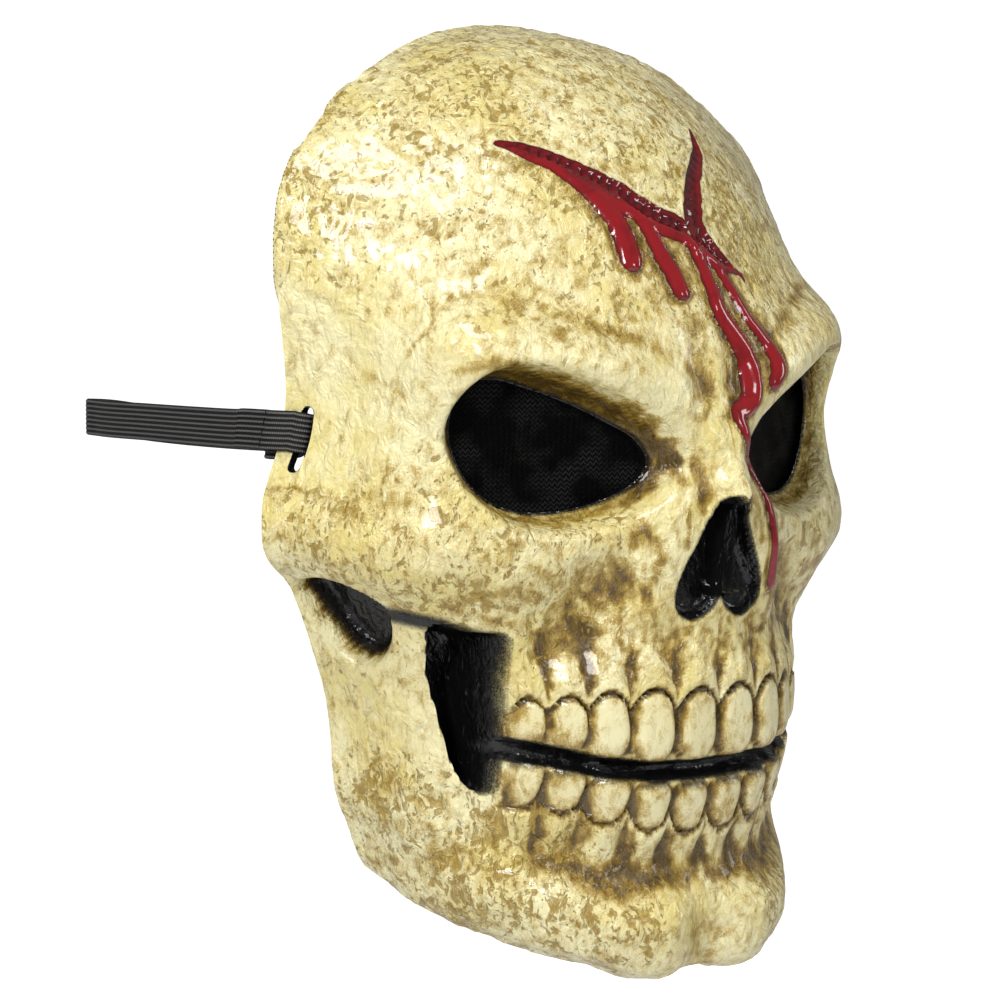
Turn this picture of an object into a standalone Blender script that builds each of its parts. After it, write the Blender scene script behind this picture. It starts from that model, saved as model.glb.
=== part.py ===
"""Skull mask: one moulded plastic shell, a mesh panel behind each eye hole and an elastic head strap.

The origin lies where the mask meets the face: on its middle line, at the height of the eyes, in the
plane of its side rims. The face looks along -Y, +Z is up and the wearer's right is at -X. Below,
"forward" is the distance in front of the rim plane, which is -Y.
"""

from collections import namedtuple
from math import cos, pi, sin

import bmesh
import bpy
import numpy as np

# Sizes of the whole, in metres.
HALF_WIDTH = 0.094  # middle line to the rim at the cheek arches
DEPTH = 0.088  # rim plane to the tip of the nose bone
HEIGHT = 0.256  # chin to crown
WALL = 0.0018  # thickness of the plastic
GAP = 0.0003  # left between pieces that touch

# The eye holes and the panels behind them.
EYE_PLANE_FORWARD = 0.0745  # where the planes of the two eye holes meet, in front of the rim plane
EYE_PLANE_SLOPE = 0.525  # how far that plane falls back for each metre to the side
EYE_LIP = 0.0065  # width of the lip that rolls in to an eye hole
EYE_LIP_CURL = 1.3  # over 1 keeps the lip's turn close to the hole
PANEL_MARGIN = 0.0055  # how far a panel reaches past its hole
PANEL_THICKNESS = 0.001

# The nose and its nostrils.
NOSE_FLOOR_FORWARD = 0.0725
NOSTRIL_RADIUS = 0.0025
NOSTRIL_SIDE = 0.0046
NOSTRIL_DROP = 0.0385  # below the height of the eyes
NOSTRIL_DEPTH = 0.0011  # each is a blind dimple in the floor

# Depths of the painted recesses.
MOUTH_SIDE_DEPTH = 0.021
MOUTH_GAP_DEPTH = 0.006
EAR_GAP_DEPTH = 0.009
RECESS_EDGE = 0.0022  # how wide the wall of a recess is, seen from the front

# Teeth.
TOOTH_RELIEF = 0.0024
GUM_RELIEF = 0.0010
GUM_SAG = 0.0052  # how far the gum comes over the crowns between two teeth
ROOT_RELIEF = 0.0016

# The wound: a groove, a gash across it and the drips that run from it.
GROOVE_WIDTH = 0.0052
GROOVE_DEPTH = 0.0014
CUT_LIP_RELIEF = 0.0008
DRIP_WIDTH = 0.0056
DRIP_RELIEF = 0.0019

# The strap and its slots.
STRAP_WIDTH = 0.0105
STRAP_THICKNESS = 0.0012
STRAP_HEIGHT = 0.0036  # middle of the strap above the eyes
SLOT_LENGTH = 0.0172
SLOT_WIDTH = 0.0034
SLOT_FORWARD = 0.0056  # middle of the slot, in front of the rim plane
SLOT_HEIGHT = 0.0014
TAB_LENGTH = 0.0130  # folded end of the strap, from the slot to its cut end
TAB_SPREAD = 0.1  # how far the folded end leans in for each metre behind the rim plane
RIM_CLEARANCE = 0.0026  # behind the rim plane before the folded end turns to the strap
STRAP_CLEARANCE = 0.0008  # between the strap and the curved wall that it is laid on
STRAP_REACH = 0.127  # how far behind the rim plane the strap turns

# The relief stands straight forward where the face looks forward by more than FACE_LEAN (the cosine
# of its angle), and square to the shell where by less than SIDE_LEAN.
FACE_LEAN = 0.60
SIDE_LEAN = 0.35

# Mesh density.
GRID_ACROSS = 150
GRID_UP = 190
SHELL_TRIANGLES = 9800
WALL_WINDOW = 3  # grid steps searched for the inner wall
NOSTRIL_SIDES = 14
SLOT_SIDES = 12  # an even number

# Base form of the shell: sections from the chin to the crown, each a smooth curve through its middle
# point, three points of one side and the rim. x is a share of HALF_WIDTH, f of DEPTH, z of HEIGHT.
# Its height goes from the middle's to the rim's with its place along the section to the power bow.
Section = namedtuple("Section",
        "name mid_f mid_z inner_x inner_f ridge_x ridge_f side_x side_f rim_x rim_f rim_z bow")
SECTIONS = (
    Section("jaw_rim", 0.682, -0.562, 0.181, 0.693, 0.351, 0.58, 0.511, 0.318, 0.638, 0, -0.455, 1.5),
    Section("jaw_edge", 0.784, -0.552, 0.191, 0.795, 0.351, 0.699, 0.532, 0.398, 0.665, 0, -0.441, 1.5),
    Section("chin", 0.83, -0.5, 0.191, 0.835, 0.372, 0.722, 0.564, 0.42, 0.697, 0, -0.406, 1.75),
    Section("roots_low", 0.784, -0.426, 0.191, 0.761, 0.372, 0.636, 0.596, 0.409, 0.734, 0, -0.367, 2),
    Section("bite", 0.83, -0.352, 0.213, 0.807, 0.404, 0.67, 0.638, 0.392, 0.755, 0, -0.312, 2),
    Section("teeth", 0.858, -0.293, 0.213, 0.835, 0.415, 0.699, 0.665, 0.381, 0.782, 0, -0.266, 2),
    Section("gum", 0.864, -0.238, 0.213, 0.824, 0.426, 0.682, 0.681, 0.375, 0.819, 0, -0.223, 2),
    Section("cheek_low", 0.869, -0.18, 0.213, 0.818, 0.457, 0.67, 0.702, 0.46, 0.888, 0, -0.16, 2),
    Section("cheek", 0.932, -0.086, 0.202, 0.841, 0.479, 0.705, 0.739, 0.534, 1, 0, -0.078, 2),
    Section("eye", 0.898, 0, 0.191, 0.801, 0.457, 0.67, 0.734, 0.5, 0.936, 0, 0.016, 2),
    Section("brow", 0.864, 0.094, 0.255, 0.824, 0.495, 0.727, 0.707, 0.58, 0.931, 0, 0.105, 2),
    Section("forehead_low", 0.761, 0.176, 0.245, 0.71, 0.479, 0.585, 0.66, 0.432, 0.943, 0, 0.18, 2),
    Section("forehead_mid", 0.648, 0.25, 0.223, 0.602, 0.441, 0.483, 0.638, 0.307, 0.926, -0.011, 0.246, 2),
    Section("forehead_high", 0.455, 0.336, 0.181, 0.426, 0.372, 0.33, 0.585, 0.165, 0.862, -0.034, 0.293,
        2),
    Section("crown_front", 0.136, 0.406, 0.149, 0.128, 0.309, 0.098, 0.5, 0.04, 0.777, -0.062, 0.324, 2),
    Section("crown_rim", -0.239, 0.432, 0.122, -0.227, 0.255, -0.193, 0.415, -0.153, 0.638, -0.102,
        0.363, 2),
)
# Where the five points of a section lie along it, from the middle to the rim.
SECTION_PLACES = (0.0, 0.19, 0.39, 0.63, 1.0)

# Forms raised from the base, or sunk into it, on both sides of the face. Each row of one is a place
# on its path (x or, in a side view, f, then z), its radius as a share of HALF_WIDTH and its height as
# a share of DEPTH.
Stroke = namedtuple("Stroke", "name view rows")
STROKES = (
    Stroke("brow_ridge", "front", ((0.085, 0.023, 0.128, 0.034), (0.191, 0.047, 0.138, 0.051),
        (0.34, 0.074, 0.138, 0.057), (0.511, 0.102, 0.138, 0.051), (0.66, 0.109, 0.138, 0.032))),
    Stroke("frown", "front", ((0.053, 0.117, 0.096, -0.014), (0.064, 0.055, 0.085, -0.023),
        (0.043, 0.031, 0.074, -0.011))),
    Stroke("nasal_bone", "front", ((0, 0.031, 0.096, 0.006), (0, 0, 0.106, 0.034),
        (0, -0.035, 0.106, 0.074), (0, -0.059, 0.096, 0.08))),
    Stroke("nose_side", "front", ((0.16, -0.047, 0.096, 0.023), (0.191, -0.109, 0.096, 0.034),
        (0.202, -0.164, 0.106, 0.023))),
    Stroke("cheek_front", "front", ((0.468, -0.117, 0.16, 0.017), (0.596, -0.125, 0.181, 0.045),
        (0.734, -0.109, 0.191, 0.034))),
    Stroke("canine_hollow", "front", ((0.362, -0.148, 0.149, -0.045), (0.426, -0.195, 0.128, -0.04))),
    Stroke("chin_lobe", "front", ((0.191, -0.5, 0.191, 0.025), (0.181, -0.535, 0.16, 0.027))),
    Stroke("chin_cleft", "front", ((0, -0.469, 0.117, -0.003), (0, -0.512, 0.128, -0.018),
        (0, -0.555, 0.128, -0.025))),
    Stroke("mental_hollow", "front", ((0.085, -0.438, 0.128, -0.023), (0.277, -0.453, 0.128, -0.028),
        (0.426, -0.438, 0.128, -0.017))),
    Stroke("jaw_body", "front", ((0.362, -0.5, 0.149, 0.023), (0.511, -0.461, 0.149, 0.028))),
    Stroke("cheek_arch", "side", ((-0.068, -0.094, 0.16, 0.04), (0.205, -0.102, 0.17, 0.045),
        (0.432, -0.113, 0.17, 0.034))),
    Stroke("temple", "side", ((0.091, 0.047, 0.277, -0.028), (0.227, 0.086, 0.277, -0.04),
        (0.295, 0.133, 0.213, -0.023))),
    Stroke("jaw_angle", "side", ((0, -0.359, 0.234, 0.017), (0.182, -0.383, 0.213, 0.017))),
)

# Outlines, as (x, z) seen from the front or (f, z) seen from the side, in the same shares.
EYE_OUTLINE = ((0.677, 0.027), (0.656, 0.052), (0.617, 0.069), (0.569, 0.071), (0.489, 0.062),
        (0.379, 0.045), (0.282, 0.025), (0.202, 0.004), (0.177, -0.016), (0.198, -0.034),
        (0.249, -0.048), (0.319, -0.059), (0.445, -0.067), (0.511, -0.065), (0.574, -0.055),
        (0.628, -0.035), (0.666, -0.005))
NOSE_OUTLINE = ((0, -0.06), (0.045, -0.055), (0.078, -0.062), (0.102, -0.09), (0.138, -0.122),
        (0.158, -0.145), (0.14, -0.166), (0.095, -0.177), (0.045, -0.17), (0, -0.148))
MOUTH_SIDE_OUTLINE = ((0.655, -0.188), (0.65, -0.258), (0.634, -0.297), (0.61, -0.332),
        (0.564, -0.355), (0.516, -0.361), (0.505, -0.336), (0.509, -0.258), (0.5, -0.195), (0.574, -0.178))
EAR_GAP_OUTLINE = ((0.034, -0.152), (0.045, -0.172), (0.074, -0.195), (0.114, -0.215), (0.17, -0.225),
        (0.227, -0.221), (0.273, -0.203), (0.29, -0.168), (0.216, -0.146), (0.102, -0.141))
# The ridge between the nostrils: x, z, radius, height.
SEPTUM = ((0, -0.066, 0.016, 0.017), (0, -0.109, 0.013, 0.011), (0, -0.142, 0.015, 0.06),
        (0, -0.152, 0.026, 0.075))

# Teeth of one side: middle and half width along x, and the two ends in z, as shares.
Tooth = namedtuple("Tooth", "x half_width low high")
UPPER_TEETH = (
    Tooth(0.073, 0.073, -0.33, -0.252),
    Tooth(0.215, 0.066, -0.328, -0.25),
    Tooth(0.33, 0.055, -0.322, -0.252),
    Tooth(0.418, 0.047, -0.312, -0.256),
    Tooth(0.481, 0.038, -0.303, -0.258),
)
LOWER_TEETH = (
    Tooth(0.068, 0.066, -0.406, -0.348),
    Tooth(0.187, 0.057, -0.4, -0.345),
    Tooth(0.291, 0.052, -0.391, -0.338),
    Tooth(0.383, 0.047, -0.379, -0.33),
    Tooth(0.457, 0.038, -0.365, -0.322),
)
# The gap between the teeth: x, then z of its lower and its upper edge.
MOUTH_GAP = ((0, -0.348, -0.33), (0.191, -0.346, -0.328), (0.34, -0.338, -0.321),
        (0.436, -0.328, -0.31), (0.516, -0.32, -0.301))

# Paths of the wound, as x and z from the front and the width there as a share of the named width.
Path = namedtuple("Path", "name rows")
GROOVES = (
    Path("long_cut", ((-0.416, 0.31, 0.154), (-0.363, 0.306, 0.346), (-0.305, 0.296, 0.462),
        (-0.231, 0.28, 0.577), (-0.151, 0.261, 0.692), (-0.093, 0.241, 0.769), (-0.004, 0.225, 0.769))),
    Path("gash", ((0.243, 0.319, 0.115), (0.215, 0.298, 0.577), (0.138, 0.275, 0.769),
        (0.09, 0.252, 1.077), (0.053, 0.228, 1.154), (0.063, 0.217, 1))),
    Path("low_cut", ((0.054, 0.217, 0.846), (0.08, 0.209, 0.731), (0.116, 0.192, 0.577),
        (0.144, 0.182, 0.346))),
)
CUT_LIPS = (
    Path("lower_lip", ((-0.405, 0.308, 0.143), (-0.36, 0.296, 0.286), (-0.318, 0.288, 0.357),
        (-0.29, 0.277, 0.429), (-0.234, 0.261, 0.536), (-0.171, 0.244, 0.571), (-0.134, 0.236, 0.5),
        (-0.079, 0.222, 0.5), (-0.013, 0.214, 0.536), (0.048, 0.195, 0.571), (0.101, 0.181, 0.5),
        (0.152, 0.179, 0.357))),
)
DRIPS = (
    Path("first", ((-0.287, 0.271, 0.321), (-0.25, 0.258, 0.679), (-0.22, 0.239, 0.929),
        (-0.202, 0.22, 1.071), (-0.199, 0.203, 1.107), (-0.202, 0.19, 1))),
    Path("second", ((-0.135, 0.23, 0.5), (-0.113, 0.214, 0.786), (-0.099, 0.192, 0.929),
        (-0.083, 0.176, 1), (-0.076, 0.159, 0.929))),
    Path("third", ((0.013, 0.203, 0.607), (0.03, 0.182, 0.786), (0.039, 0.16, 0.857),
        (0.05, 0.134, 0.893), (0.087, 0.109, 0.964), (0.113, 0.087, 1), (0.112, 0.062, 0.964),
        (0.077, 0.038, 0.857), (0.055, 0.015, 0.786), (0.096, -0.013, 0.75), (0.154, -0.039, 0.786),
        (0.191, -0.066, 0.857), (0.213, -0.105, 0.929), (0.218, -0.148, 1))),
    Path("fourth", ((0.091, 0.176, 0.357), (0.111, 0.165, 0.464), (0.131, 0.147, 0.536),
        (0.151, 0.129, 0.5), (0.179, 0.115, 0.536), (0.213, 0.096, 0.714), (0.221, 0.076, 0.893),
        (0.198, 0.061, 0.857))),
)

# Route of the strap seen from above, from behind the right slot round to behind the left one. x is a
# share of HALF_WIDTH, behind (the distance behind the rim plane) of STRAP_REACH, drop (below the
# height of the slots) of STRAP_WIDTH and lean of the wall's own lean at the slots.
RoutePoint = namedtuple("RoutePoint", "x behind drop lean")
STRAP_ROUTE = (
    RoutePoint(-0.935, 0.06, 0.02, 1),
    RoutePoint(-0.905, 0.25, 0.14, 0.3),
    RoutePoint(-0.8, 0.62, 0.35, 0),
    RoutePoint(-0.7, 0.92, 0.53, 0),
    RoutePoint(-0.66, 0.995, 0.57, 0),
    RoutePoint(-0.61, 0.985, 0.6, 0),
    RoutePoint(-0.5, 0.9, 0.78, 0),
    RoutePoint(-0.2, 0.7, 1.05, 0),
    RoutePoint(0.2, 0.46, 1.05, 0),
    RoutePoint(0.6, 0.25, 0.65, 0),
    RoutePoint(0.84, 0.13, 0.22, 0.3),
    RoutePoint(0.935, 0.06, 0.04, 1),
)


def clear_scene():
    for obj in list(bpy.data.objects):
        bpy.data.objects.remove(obj, do_unlink=True)


def material(name, colour, roughness):
    mat = bpy.data.materials.new(name)
    mat.use_nodes = True
    shader = mat.node_tree.nodes["Principled BSDF"]
    shader.inputs["Base Color"].default_value = (*colour, 1.0)
    shader.inputs["Roughness"].default_value = roughness
    shader.inputs["Metallic"].default_value = 0.0
    return mat


def add_object(name, bm, mat, smooth=True):
    mesh = bpy.data.meshes.new(name)
    bm.to_mesh(mesh)
    bm.free()
    mesh.materials.append(mat)
    if smooth:
        mesh.shade_smooth()
        mesh.set_sharp_from_angle(angle=pi / 5)
    obj = bpy.data.objects.new(name, mesh)
    bpy.context.scene.collection.objects.link(obj)
    return obj


def ease(t):
    """0 to 1 with level ends, as t goes from 0 to 1."""
    t = np.clip(t, 0.0, 1.0)
    return t * t * (3.0 - 2.0 * t)


def smooth_curve(knots, values, at):
    """A smooth curve through the values, one at each knot, read at the given places."""
    knots = np.asarray(knots, float)
    values = np.asarray(values, float)
    steps = np.diff(knots)
    slopes = np.diff(values, axis=0) / steps.reshape((-1,) + (1,) * (values.ndim - 1))
    before = steps[:-1].reshape((-1,) + (1,) * (values.ndim - 1))
    after = steps[1:].reshape(before.shape)
    inner = (after * slopes[:-1] + before * slopes[1:]) / (before + after)
    tangents = np.concatenate([slopes[:1], inner, slopes[-1:]])
    at = np.asarray(at, float)
    i = np.clip(np.searchsorted(knots, at, side="right") - 1, 0, len(steps) - 1)
    shape = (-1,) + (1,) * (values.ndim - 1)
    step = steps[i].reshape(shape)
    t = ((at - knots[i]) / steps[i]).reshape(shape)
    return (
        (2 * t**3 - 3 * t**2 + 1) * values[i]
        + (t**3 - 2 * t**2 + t) * step * tangents[i]
        + (3 * t**2 - 2 * t**3) * values[i + 1]
        + (t**3 - t**2) * step * tangents[i + 1]
    )


def base_grid(across, up):
    """Points of the base form, up x across x 3, as x, forward, z."""
    rows = []
    for s in SECTIONS:
        side = np.array(
            [
                (0.0, s.mid_f),
                (s.inner_x, s.inner_f),
                (s.ridge_x, s.ridge_f),
                (s.side_x, s.side_f),
                (s.rim_x, s.rim_f),
            ]
        )
        place = np.array(SECTION_PLACES)
        height = s.mid_z + (s.rim_z - s.mid_z) * place**s.bow
        points = np.column_stack([side[:, 0] * HALF_WIDTH, side[:, 1] * DEPTH, height * HEIGHT])
        mirrored = points[:0:-1] * (-1.0, 1.0, 1.0)
        rows.append(np.concatenate([mirrored, points]))
    rows = np.array(rows)
    places = np.concatenate([-np.array(SECTION_PLACES)[:0:-1], SECTION_PLACES])
    columns = np.linspace(-1.0, 1.0, across)
    sections = np.array([smooth_curve(places, row, columns) for row in rows])
    lengths = np.linalg.norm(np.diff(rows, axis=0), axis=2).mean(axis=1)
    knots = np.concatenate([[0.0], np.cumsum(lengths)])
    return smooth_curve(knots, sections, np.linspace(0.0, knots[-1], up))


def outward_of(points):
    """Directions in which the relief stands: straight forward on the face, square to it at the sides."""
    across = np.gradient(points, axis=1)
    up = np.gradient(points, axis=0)
    normal = np.cross(up, across)
    normal /= np.linalg.norm(normal, axis=2, keepdims=True)
    weight = ease((normal[..., 1:2] - SIDE_LEAN) / (FACE_LEAN - SIDE_LEAN))
    outward = normal * (1 - weight) + np.array([0.0, 1.0, 0.0]) * weight
    return outward / np.linalg.norm(outward, axis=2, keepdims=True)


def distance_to_path(rows, places):
    """How far each place lies from a path, and the path's further columns there."""
    rows = np.asarray(rows, float)
    best = np.full(len(places), np.inf)
    extra = np.zeros((len(places), rows.shape[1] - 2))
    for a, b in zip(rows[:-1], rows[1:]):
        run = b[:2] - a[:2]
        t = np.clip(((places - a[:2]) @ run) / max(run @ run, 1e-12), 0.0, 1.0)
        distance = np.linalg.norm(places - a[:2] - t[:, None] * run, axis=1)
        nearer = distance < best
        best[nearer] = distance[nearer]
        extra[nearer] = (a[2:] + t[:, None] * (b[2:] - a[2:]))[nearer]
    return best, extra


def closed_curve(points, each=5):
    """A smooth closed outline through the points."""
    points = np.asarray(points, float)
    round_twice = np.concatenate([points[-2:], points, points[:2]])
    steps = np.linalg.norm(np.diff(round_twice, axis=0), axis=1)
    knots = np.concatenate([[0.0], np.cumsum(steps)])
    at = np.concatenate(
        [np.linspace(knots[i + 2], knots[i + 3], each, endpoint=False) for i in range(len(points))]
    )
    return smooth_curve(knots, round_twice, at)


def distance_to_outline(outline, places):
    """Distance of each place to a closed outline, negative inside it."""
    loop = np.concatenate([outline, outline[:1]])
    distance, _ = distance_to_path(loop, places)
    inside = np.zeros(len(places), bool)
    for a, b in zip(loop[:-1], loop[1:]):
        spans = (a[1] > places[:, 1]) != (b[1] > places[:, 1])
        rise = b[1] - a[1] if b[1] != a[1] else 1.0
        inside ^= spans & (places[:, 0] < a[0] + (places[:, 1] - a[1]) / rise * (b[0] - a[0]))
    return np.where(inside, -distance, distance)


def front_outline(shares):
    return closed_curve(np.array(shares) * (HALF_WIDTH, HEIGHT))


def side_outline(shares):
    return closed_curve(np.array(shares) * (DEPTH, HEIGHT))


def eye_plane(x):
    return EYE_PLANE_FORWARD - EYE_PLANE_SLOPE * np.abs(x)


def towards(relief, wanted, weight):
    return relief + (wanted - relief) * weight


def teeth_relief(teeth, x, z, roots_up):
    """Rounded crowns that tuck under a scalloped gum, with a low root ridge running on past each."""
    way = 1.0 if roots_up else -1.0
    crown = np.zeros(len(x))
    ridge = np.zeros(len(x))
    gum_line = np.full(len(x), -HEIGHT)
    for tooth in teeth:
        tip, neck = (tooth.low, tooth.high) if roots_up else (tooth.high, tooth.low)
        across = (x - tooth.x * HALF_WIDTH) / (tooth.half_width * HALF_WIDTH)
        up = way * (z - tip * HEIGHT) / abs((neck - tip) * HEIGHT)
        gum_line = np.maximum(gum_line, way * neck * HEIGHT - GUM_SAG * np.minimum(across**2, 1.6))
        pillow = np.clip(1 - across**4, 0, None) * np.clip(1 - ((up - 0.58) / 0.58) ** 4, 0, None)
        crown = np.maximum(crown, pillow**0.5)
        ridge = np.maximum(ridge, np.clip(1 - across**2, 0, None))
    in_gum = way * z - gum_line
    end = (teeth[-1].x + teeth[-1].half_width) * HALF_WIDTH
    gum = GUM_RELIEF * ease(in_gum / 0.0015) * ease(1.0 - (in_gum - 0.002) / 0.008)
    gum += ROOT_RELIEF * ridge * ease(in_gum / 0.003) * ease(1.5 - in_gum / 0.011)
    tucked = TOOTH_RELIEF * crown * ease(0.15 - in_gum / 0.0014)
    return np.where(in_gum > 0, gum, tucked) * ease((end - x) / 0.003 + 0.6)


def shell_relief(base):
    """How far the shell's face stands off the base form at each point."""
    points = base.reshape(-1, 3)
    x = np.abs(points[:, 0])
    forward = points[:, 1]
    z = points[:, 2]
    front = np.column_stack([x, z])
    side = np.column_stack([forward, z])
    one_side = points[:, [0, 2]]
    relief = np.zeros(len(points))
    for stroke in STROKES:
        unit = HALF_WIDTH if stroke.view == "front" else DEPTH
        rows = np.array(stroke.rows) * (unit, HEIGHT, HALF_WIDTH, DEPTH)
        distance, shape = distance_to_path(rows, front if stroke.view == "front" else side)
        relief += shape[:, 1] * np.clip(1 - (distance / shape[:, 0]) ** 2, 0, None) ** 2

    relief += teeth_relief(UPPER_TEETH, x, z, True)
    relief += teeth_relief(LOWER_TEETH, x, z, False)

    eye = distance_to_outline(front_outline(EYE_OUTLINE), front)
    weight = ease(1 - eye / EYE_LIP) ** EYE_LIP_CURL
    relief = towards(relief, eye_plane(x) - forward, weight)

    nose = distance_to_outline(front_outline(NOSE_OUTLINE), front)
    weight = ease(0.5 - nose / RECESS_EDGE)
    relief = towards(relief, NOSE_FLOOR_FORWARD - forward, weight)
    septum_rows = np.array(SEPTUM) * (HALF_WIDTH, HEIGHT, HALF_WIDTH, DEPTH)
    distance, shape = distance_to_path(septum_rows, front)
    ridge = np.clip(1 - (distance / shape[:, 0]) ** 2, 0, None)
    relief = np.where(nose < 0, np.maximum(relief, relief * (1 - ridge) + shape[:, 1] * ridge), relief)

    gap = distance_to_outline(front_outline(MOUTH_SIDE_OUTLINE), front)
    relief -= MOUTH_SIDE_DEPTH * ease(0.5 - gap / RECESS_EDGE)
    rows = np.array(MOUTH_GAP) * (HALF_WIDTH, HEIGHT, HEIGHT)
    low = np.interp(x, rows[:, 0], rows[:, 1])
    high = np.interp(x, rows[:, 0], rows[:, 2])
    in_gap = ease(0.5 + np.minimum(z - low, high - z) / RECESS_EDGE) * (gap > 0) * (x < rows[-1, 0])
    relief = towards(relief, -MOUTH_GAP_DEPTH, in_gap)
    ear = distance_to_outline(side_outline(EAR_GAP_OUTLINE), side)
    relief -= EAR_GAP_DEPTH * ease(0.5 - ear / (2 * RECESS_EDGE))

    cut = np.zeros(len(points))
    for path in GROOVES:
        rows = np.array(path.rows) * (HALF_WIDTH, HEIGHT, GROOVE_WIDTH / 2)
        distance, half = distance_to_path(rows, one_side)
        cut = np.maximum(cut, np.clip(1 - (distance / half[:, 0]) ** 2, 0, None))
    relief -= GROOVE_DEPTH * cut
    for paths, height in ((CUT_LIPS, CUT_LIP_RELIEF), (DRIPS, DRIP_RELIEF)):
        for path in paths:
            rows = np.array(path.rows) * (HALF_WIDTH, HEIGHT, DRIP_WIDTH / 2)
            distance, half = distance_to_path(smooth_path(rows), one_side)
            bead = np.sqrt(np.clip(1 - (distance / half[:, 0]) ** 2, 0, None))
            relief += height * bead * (cut == 0)
    return relief.reshape(base.shape[:2])


def smooth_path(rows, each=5):
    """A smooth open path through the rows, with the same number of steps between each two."""
    steps = np.linalg.norm(np.diff(rows, axis=0), axis=1)
    knots = np.concatenate([[0.0], np.cumsum(steps)])
    at = np.interp(np.linspace(0.0, len(steps), each * len(steps) + 1), np.arange(len(knots)), knots)
    return smooth_curve(knots, rows, at)


def shifted(grid, up, across):
    """The grid moved by whole steps, its edge rows repeated."""
    rows = np.clip(np.arange(grid.shape[0]) + up, 0, grid.shape[0] - 1)
    columns = np.clip(np.arange(grid.shape[1]) + across, 0, grid.shape[1] - 1)
    return grid[rows][:, columns]


def inner_wall(base, outward, outer):
    """The inner wall: every point of it is at least one wall thickness from the outer one."""
    depth = ((outer - base) * outward).sum(axis=2) - WALL
    for up in range(-WALL_WINDOW, WALL_WINDOW + 1):
        for across in range(-WALL_WINDOW, WALL_WINDOW + 1):
            away = shifted(outer, up, across) - base
            along = (away * outward).sum(axis=2)
            beside = (away**2).sum(axis=2) - along**2
            limit = along - np.sqrt(np.clip(WALL**2 - beside, 0, None))
            depth = np.where(beside < WALL**2, np.minimum(depth, limit), depth)
    return base + outward * depth[..., None]


def to_world(points):
    return points * (1.0, -1.0, 1.0)


def shell_walls():
    """Points of the outer and the inner wall, each up x across x 3, as x, forward, z."""
    base = base_grid(GRID_ACROSS, GRID_UP)
    outward = outward_of(base)
    outer = base + outward * shell_relief(base)[..., None]
    return outer, inner_wall(base, outward, outer)


def shell_object(walls, mat):
    outer, inner = (to_world(wall.reshape(-1, 3)) for wall in walls)

    bm = bmesh.new()
    bmesh.ops.create_grid(bm, x_segments=GRID_ACROSS - 1, y_segments=GRID_UP - 1, size=1.0)
    copied = bmesh.ops.duplicate(bm, geom=bm.verts[:] + bm.edges[:] + bm.faces[:])
    back_faces = [item for item in copied["geom"] if isinstance(item, bmesh.types.BMFace)]
    partner = {a: b for a, b in copied["vert_map"].items() if isinstance(a, bmesh.types.BMVert)}
    bm.verts.ensure_lookup_table()
    outer_verts = bm.verts[: len(outer)]
    edges = [edge for edge in bm.edges if edge.is_boundary and edge.verts[0].index < len(outer)]
    for vert, place, under in zip(outer_verts, outer, inner):
        vert.co = place
        partner[vert].co = under
    bmesh.ops.reverse_faces(bm, faces=back_faces)
    for edge in edges:
        a, b = edge.link_loops[0].vert, edge.link_loops[0].link_loop_next.vert
        bm.faces.new((b, a, partner[a], partner[b]))
    shell = add_object("mask_shell", bm, mat)
    triangles = 2 * len(shell.data.polygons)
    thin = shell.modifiers.new("thin_out", "DECIMATE")
    thin.ratio = SHELL_TRIANGLES / triangles
    thin.use_collapse_triangulate = True
    return shell


def prism(bm, near, far):
    """A closed prism between two like outlines."""
    a = [bm.verts.new(p) for p in near]
    b = [bm.verts.new(p) for p in far]
    count = len(a)
    for i in range(count):
        j = (i + 1) % count
        bm.faces.new((a[i], a[j], b[j], b[i]))
    bm.faces.new(a[::-1])
    bm.faces.new(b)


def cutter_object():
    """Prisms for the eye and strap holes, which pass through the shell, and for the blind nostrils."""
    bm = bmesh.new()
    reach = 0.5 * DEPTH
    for side in (-1.0, 1.0):
        eye = front_outline(EYE_OUTLINE)[::2]
        turn = [2 * pi * i / NOSTRIL_SIDES for i in range(NOSTRIL_SIDES)]
        nostril = [
            (NOSTRIL_SIDE + NOSTRIL_RADIUS * cos(a), NOSTRIL_RADIUS * sin(a) - NOSTRIL_DROP) for a in turn
        ]
        eye_middle = eye_plane(eye[:, 0].mean())
        for outline, middle, depth in (
            (eye, eye_middle, reach),
            (nostril, NOSE_FLOOR_FORWARD, NOSTRIL_DEPTH),
        ):
            near = [(side * x, -(middle + reach), z) for x, z in outline]
            far = [(side * x, -(middle - depth), z) for x, z in outline]
            prism(bm, near, far)
        half = SLOT_WIDTH / 2
        straight = SLOT_LENGTH / 2 - half
        turn = [2 * pi * (i + 0.5) / SLOT_SIDES for i in range(SLOT_SIDES)]
        slot = [
            (SLOT_FORWARD + half * cos(a), SLOT_HEIGHT + half * sin(a) + (straight if a < pi else -straight))
            for a in turn
        ]
        near = [(side * (HALF_WIDTH - reach / 2), -f, z) for f, z in slot]
        far = [(side * (HALF_WIDTH + reach / 2), -f, z) for f, z in slot]
        prism(bm, near, far)
    bmesh.ops.recalc_face_normals(bm, faces=bm.faces[:])
    mesh = bpy.data.meshes.new("hole_cutter")
    bm.to_mesh(mesh)
    bm.free()
    obj = bpy.data.objects.new("hole_cutter", mesh)
    obj.hide_render = True
    obj.display_type = "WIRE"
    bpy.context.scene.collection.objects.link(obj)
    return obj


def grown(outline, by):
    """An outline moved outwards by a distance."""
    ahead = np.roll(outline, -1, axis=0) - np.roll(outline, 1, axis=0)
    normal = np.column_stack([ahead[:, 1], -ahead[:, 0]])
    normal /= np.linalg.norm(normal, axis=1, keepdims=True)
    area = np.cross(outline, np.roll(outline, -1, axis=0)).sum()
    return outline + np.sign(area) * by * normal


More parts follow.
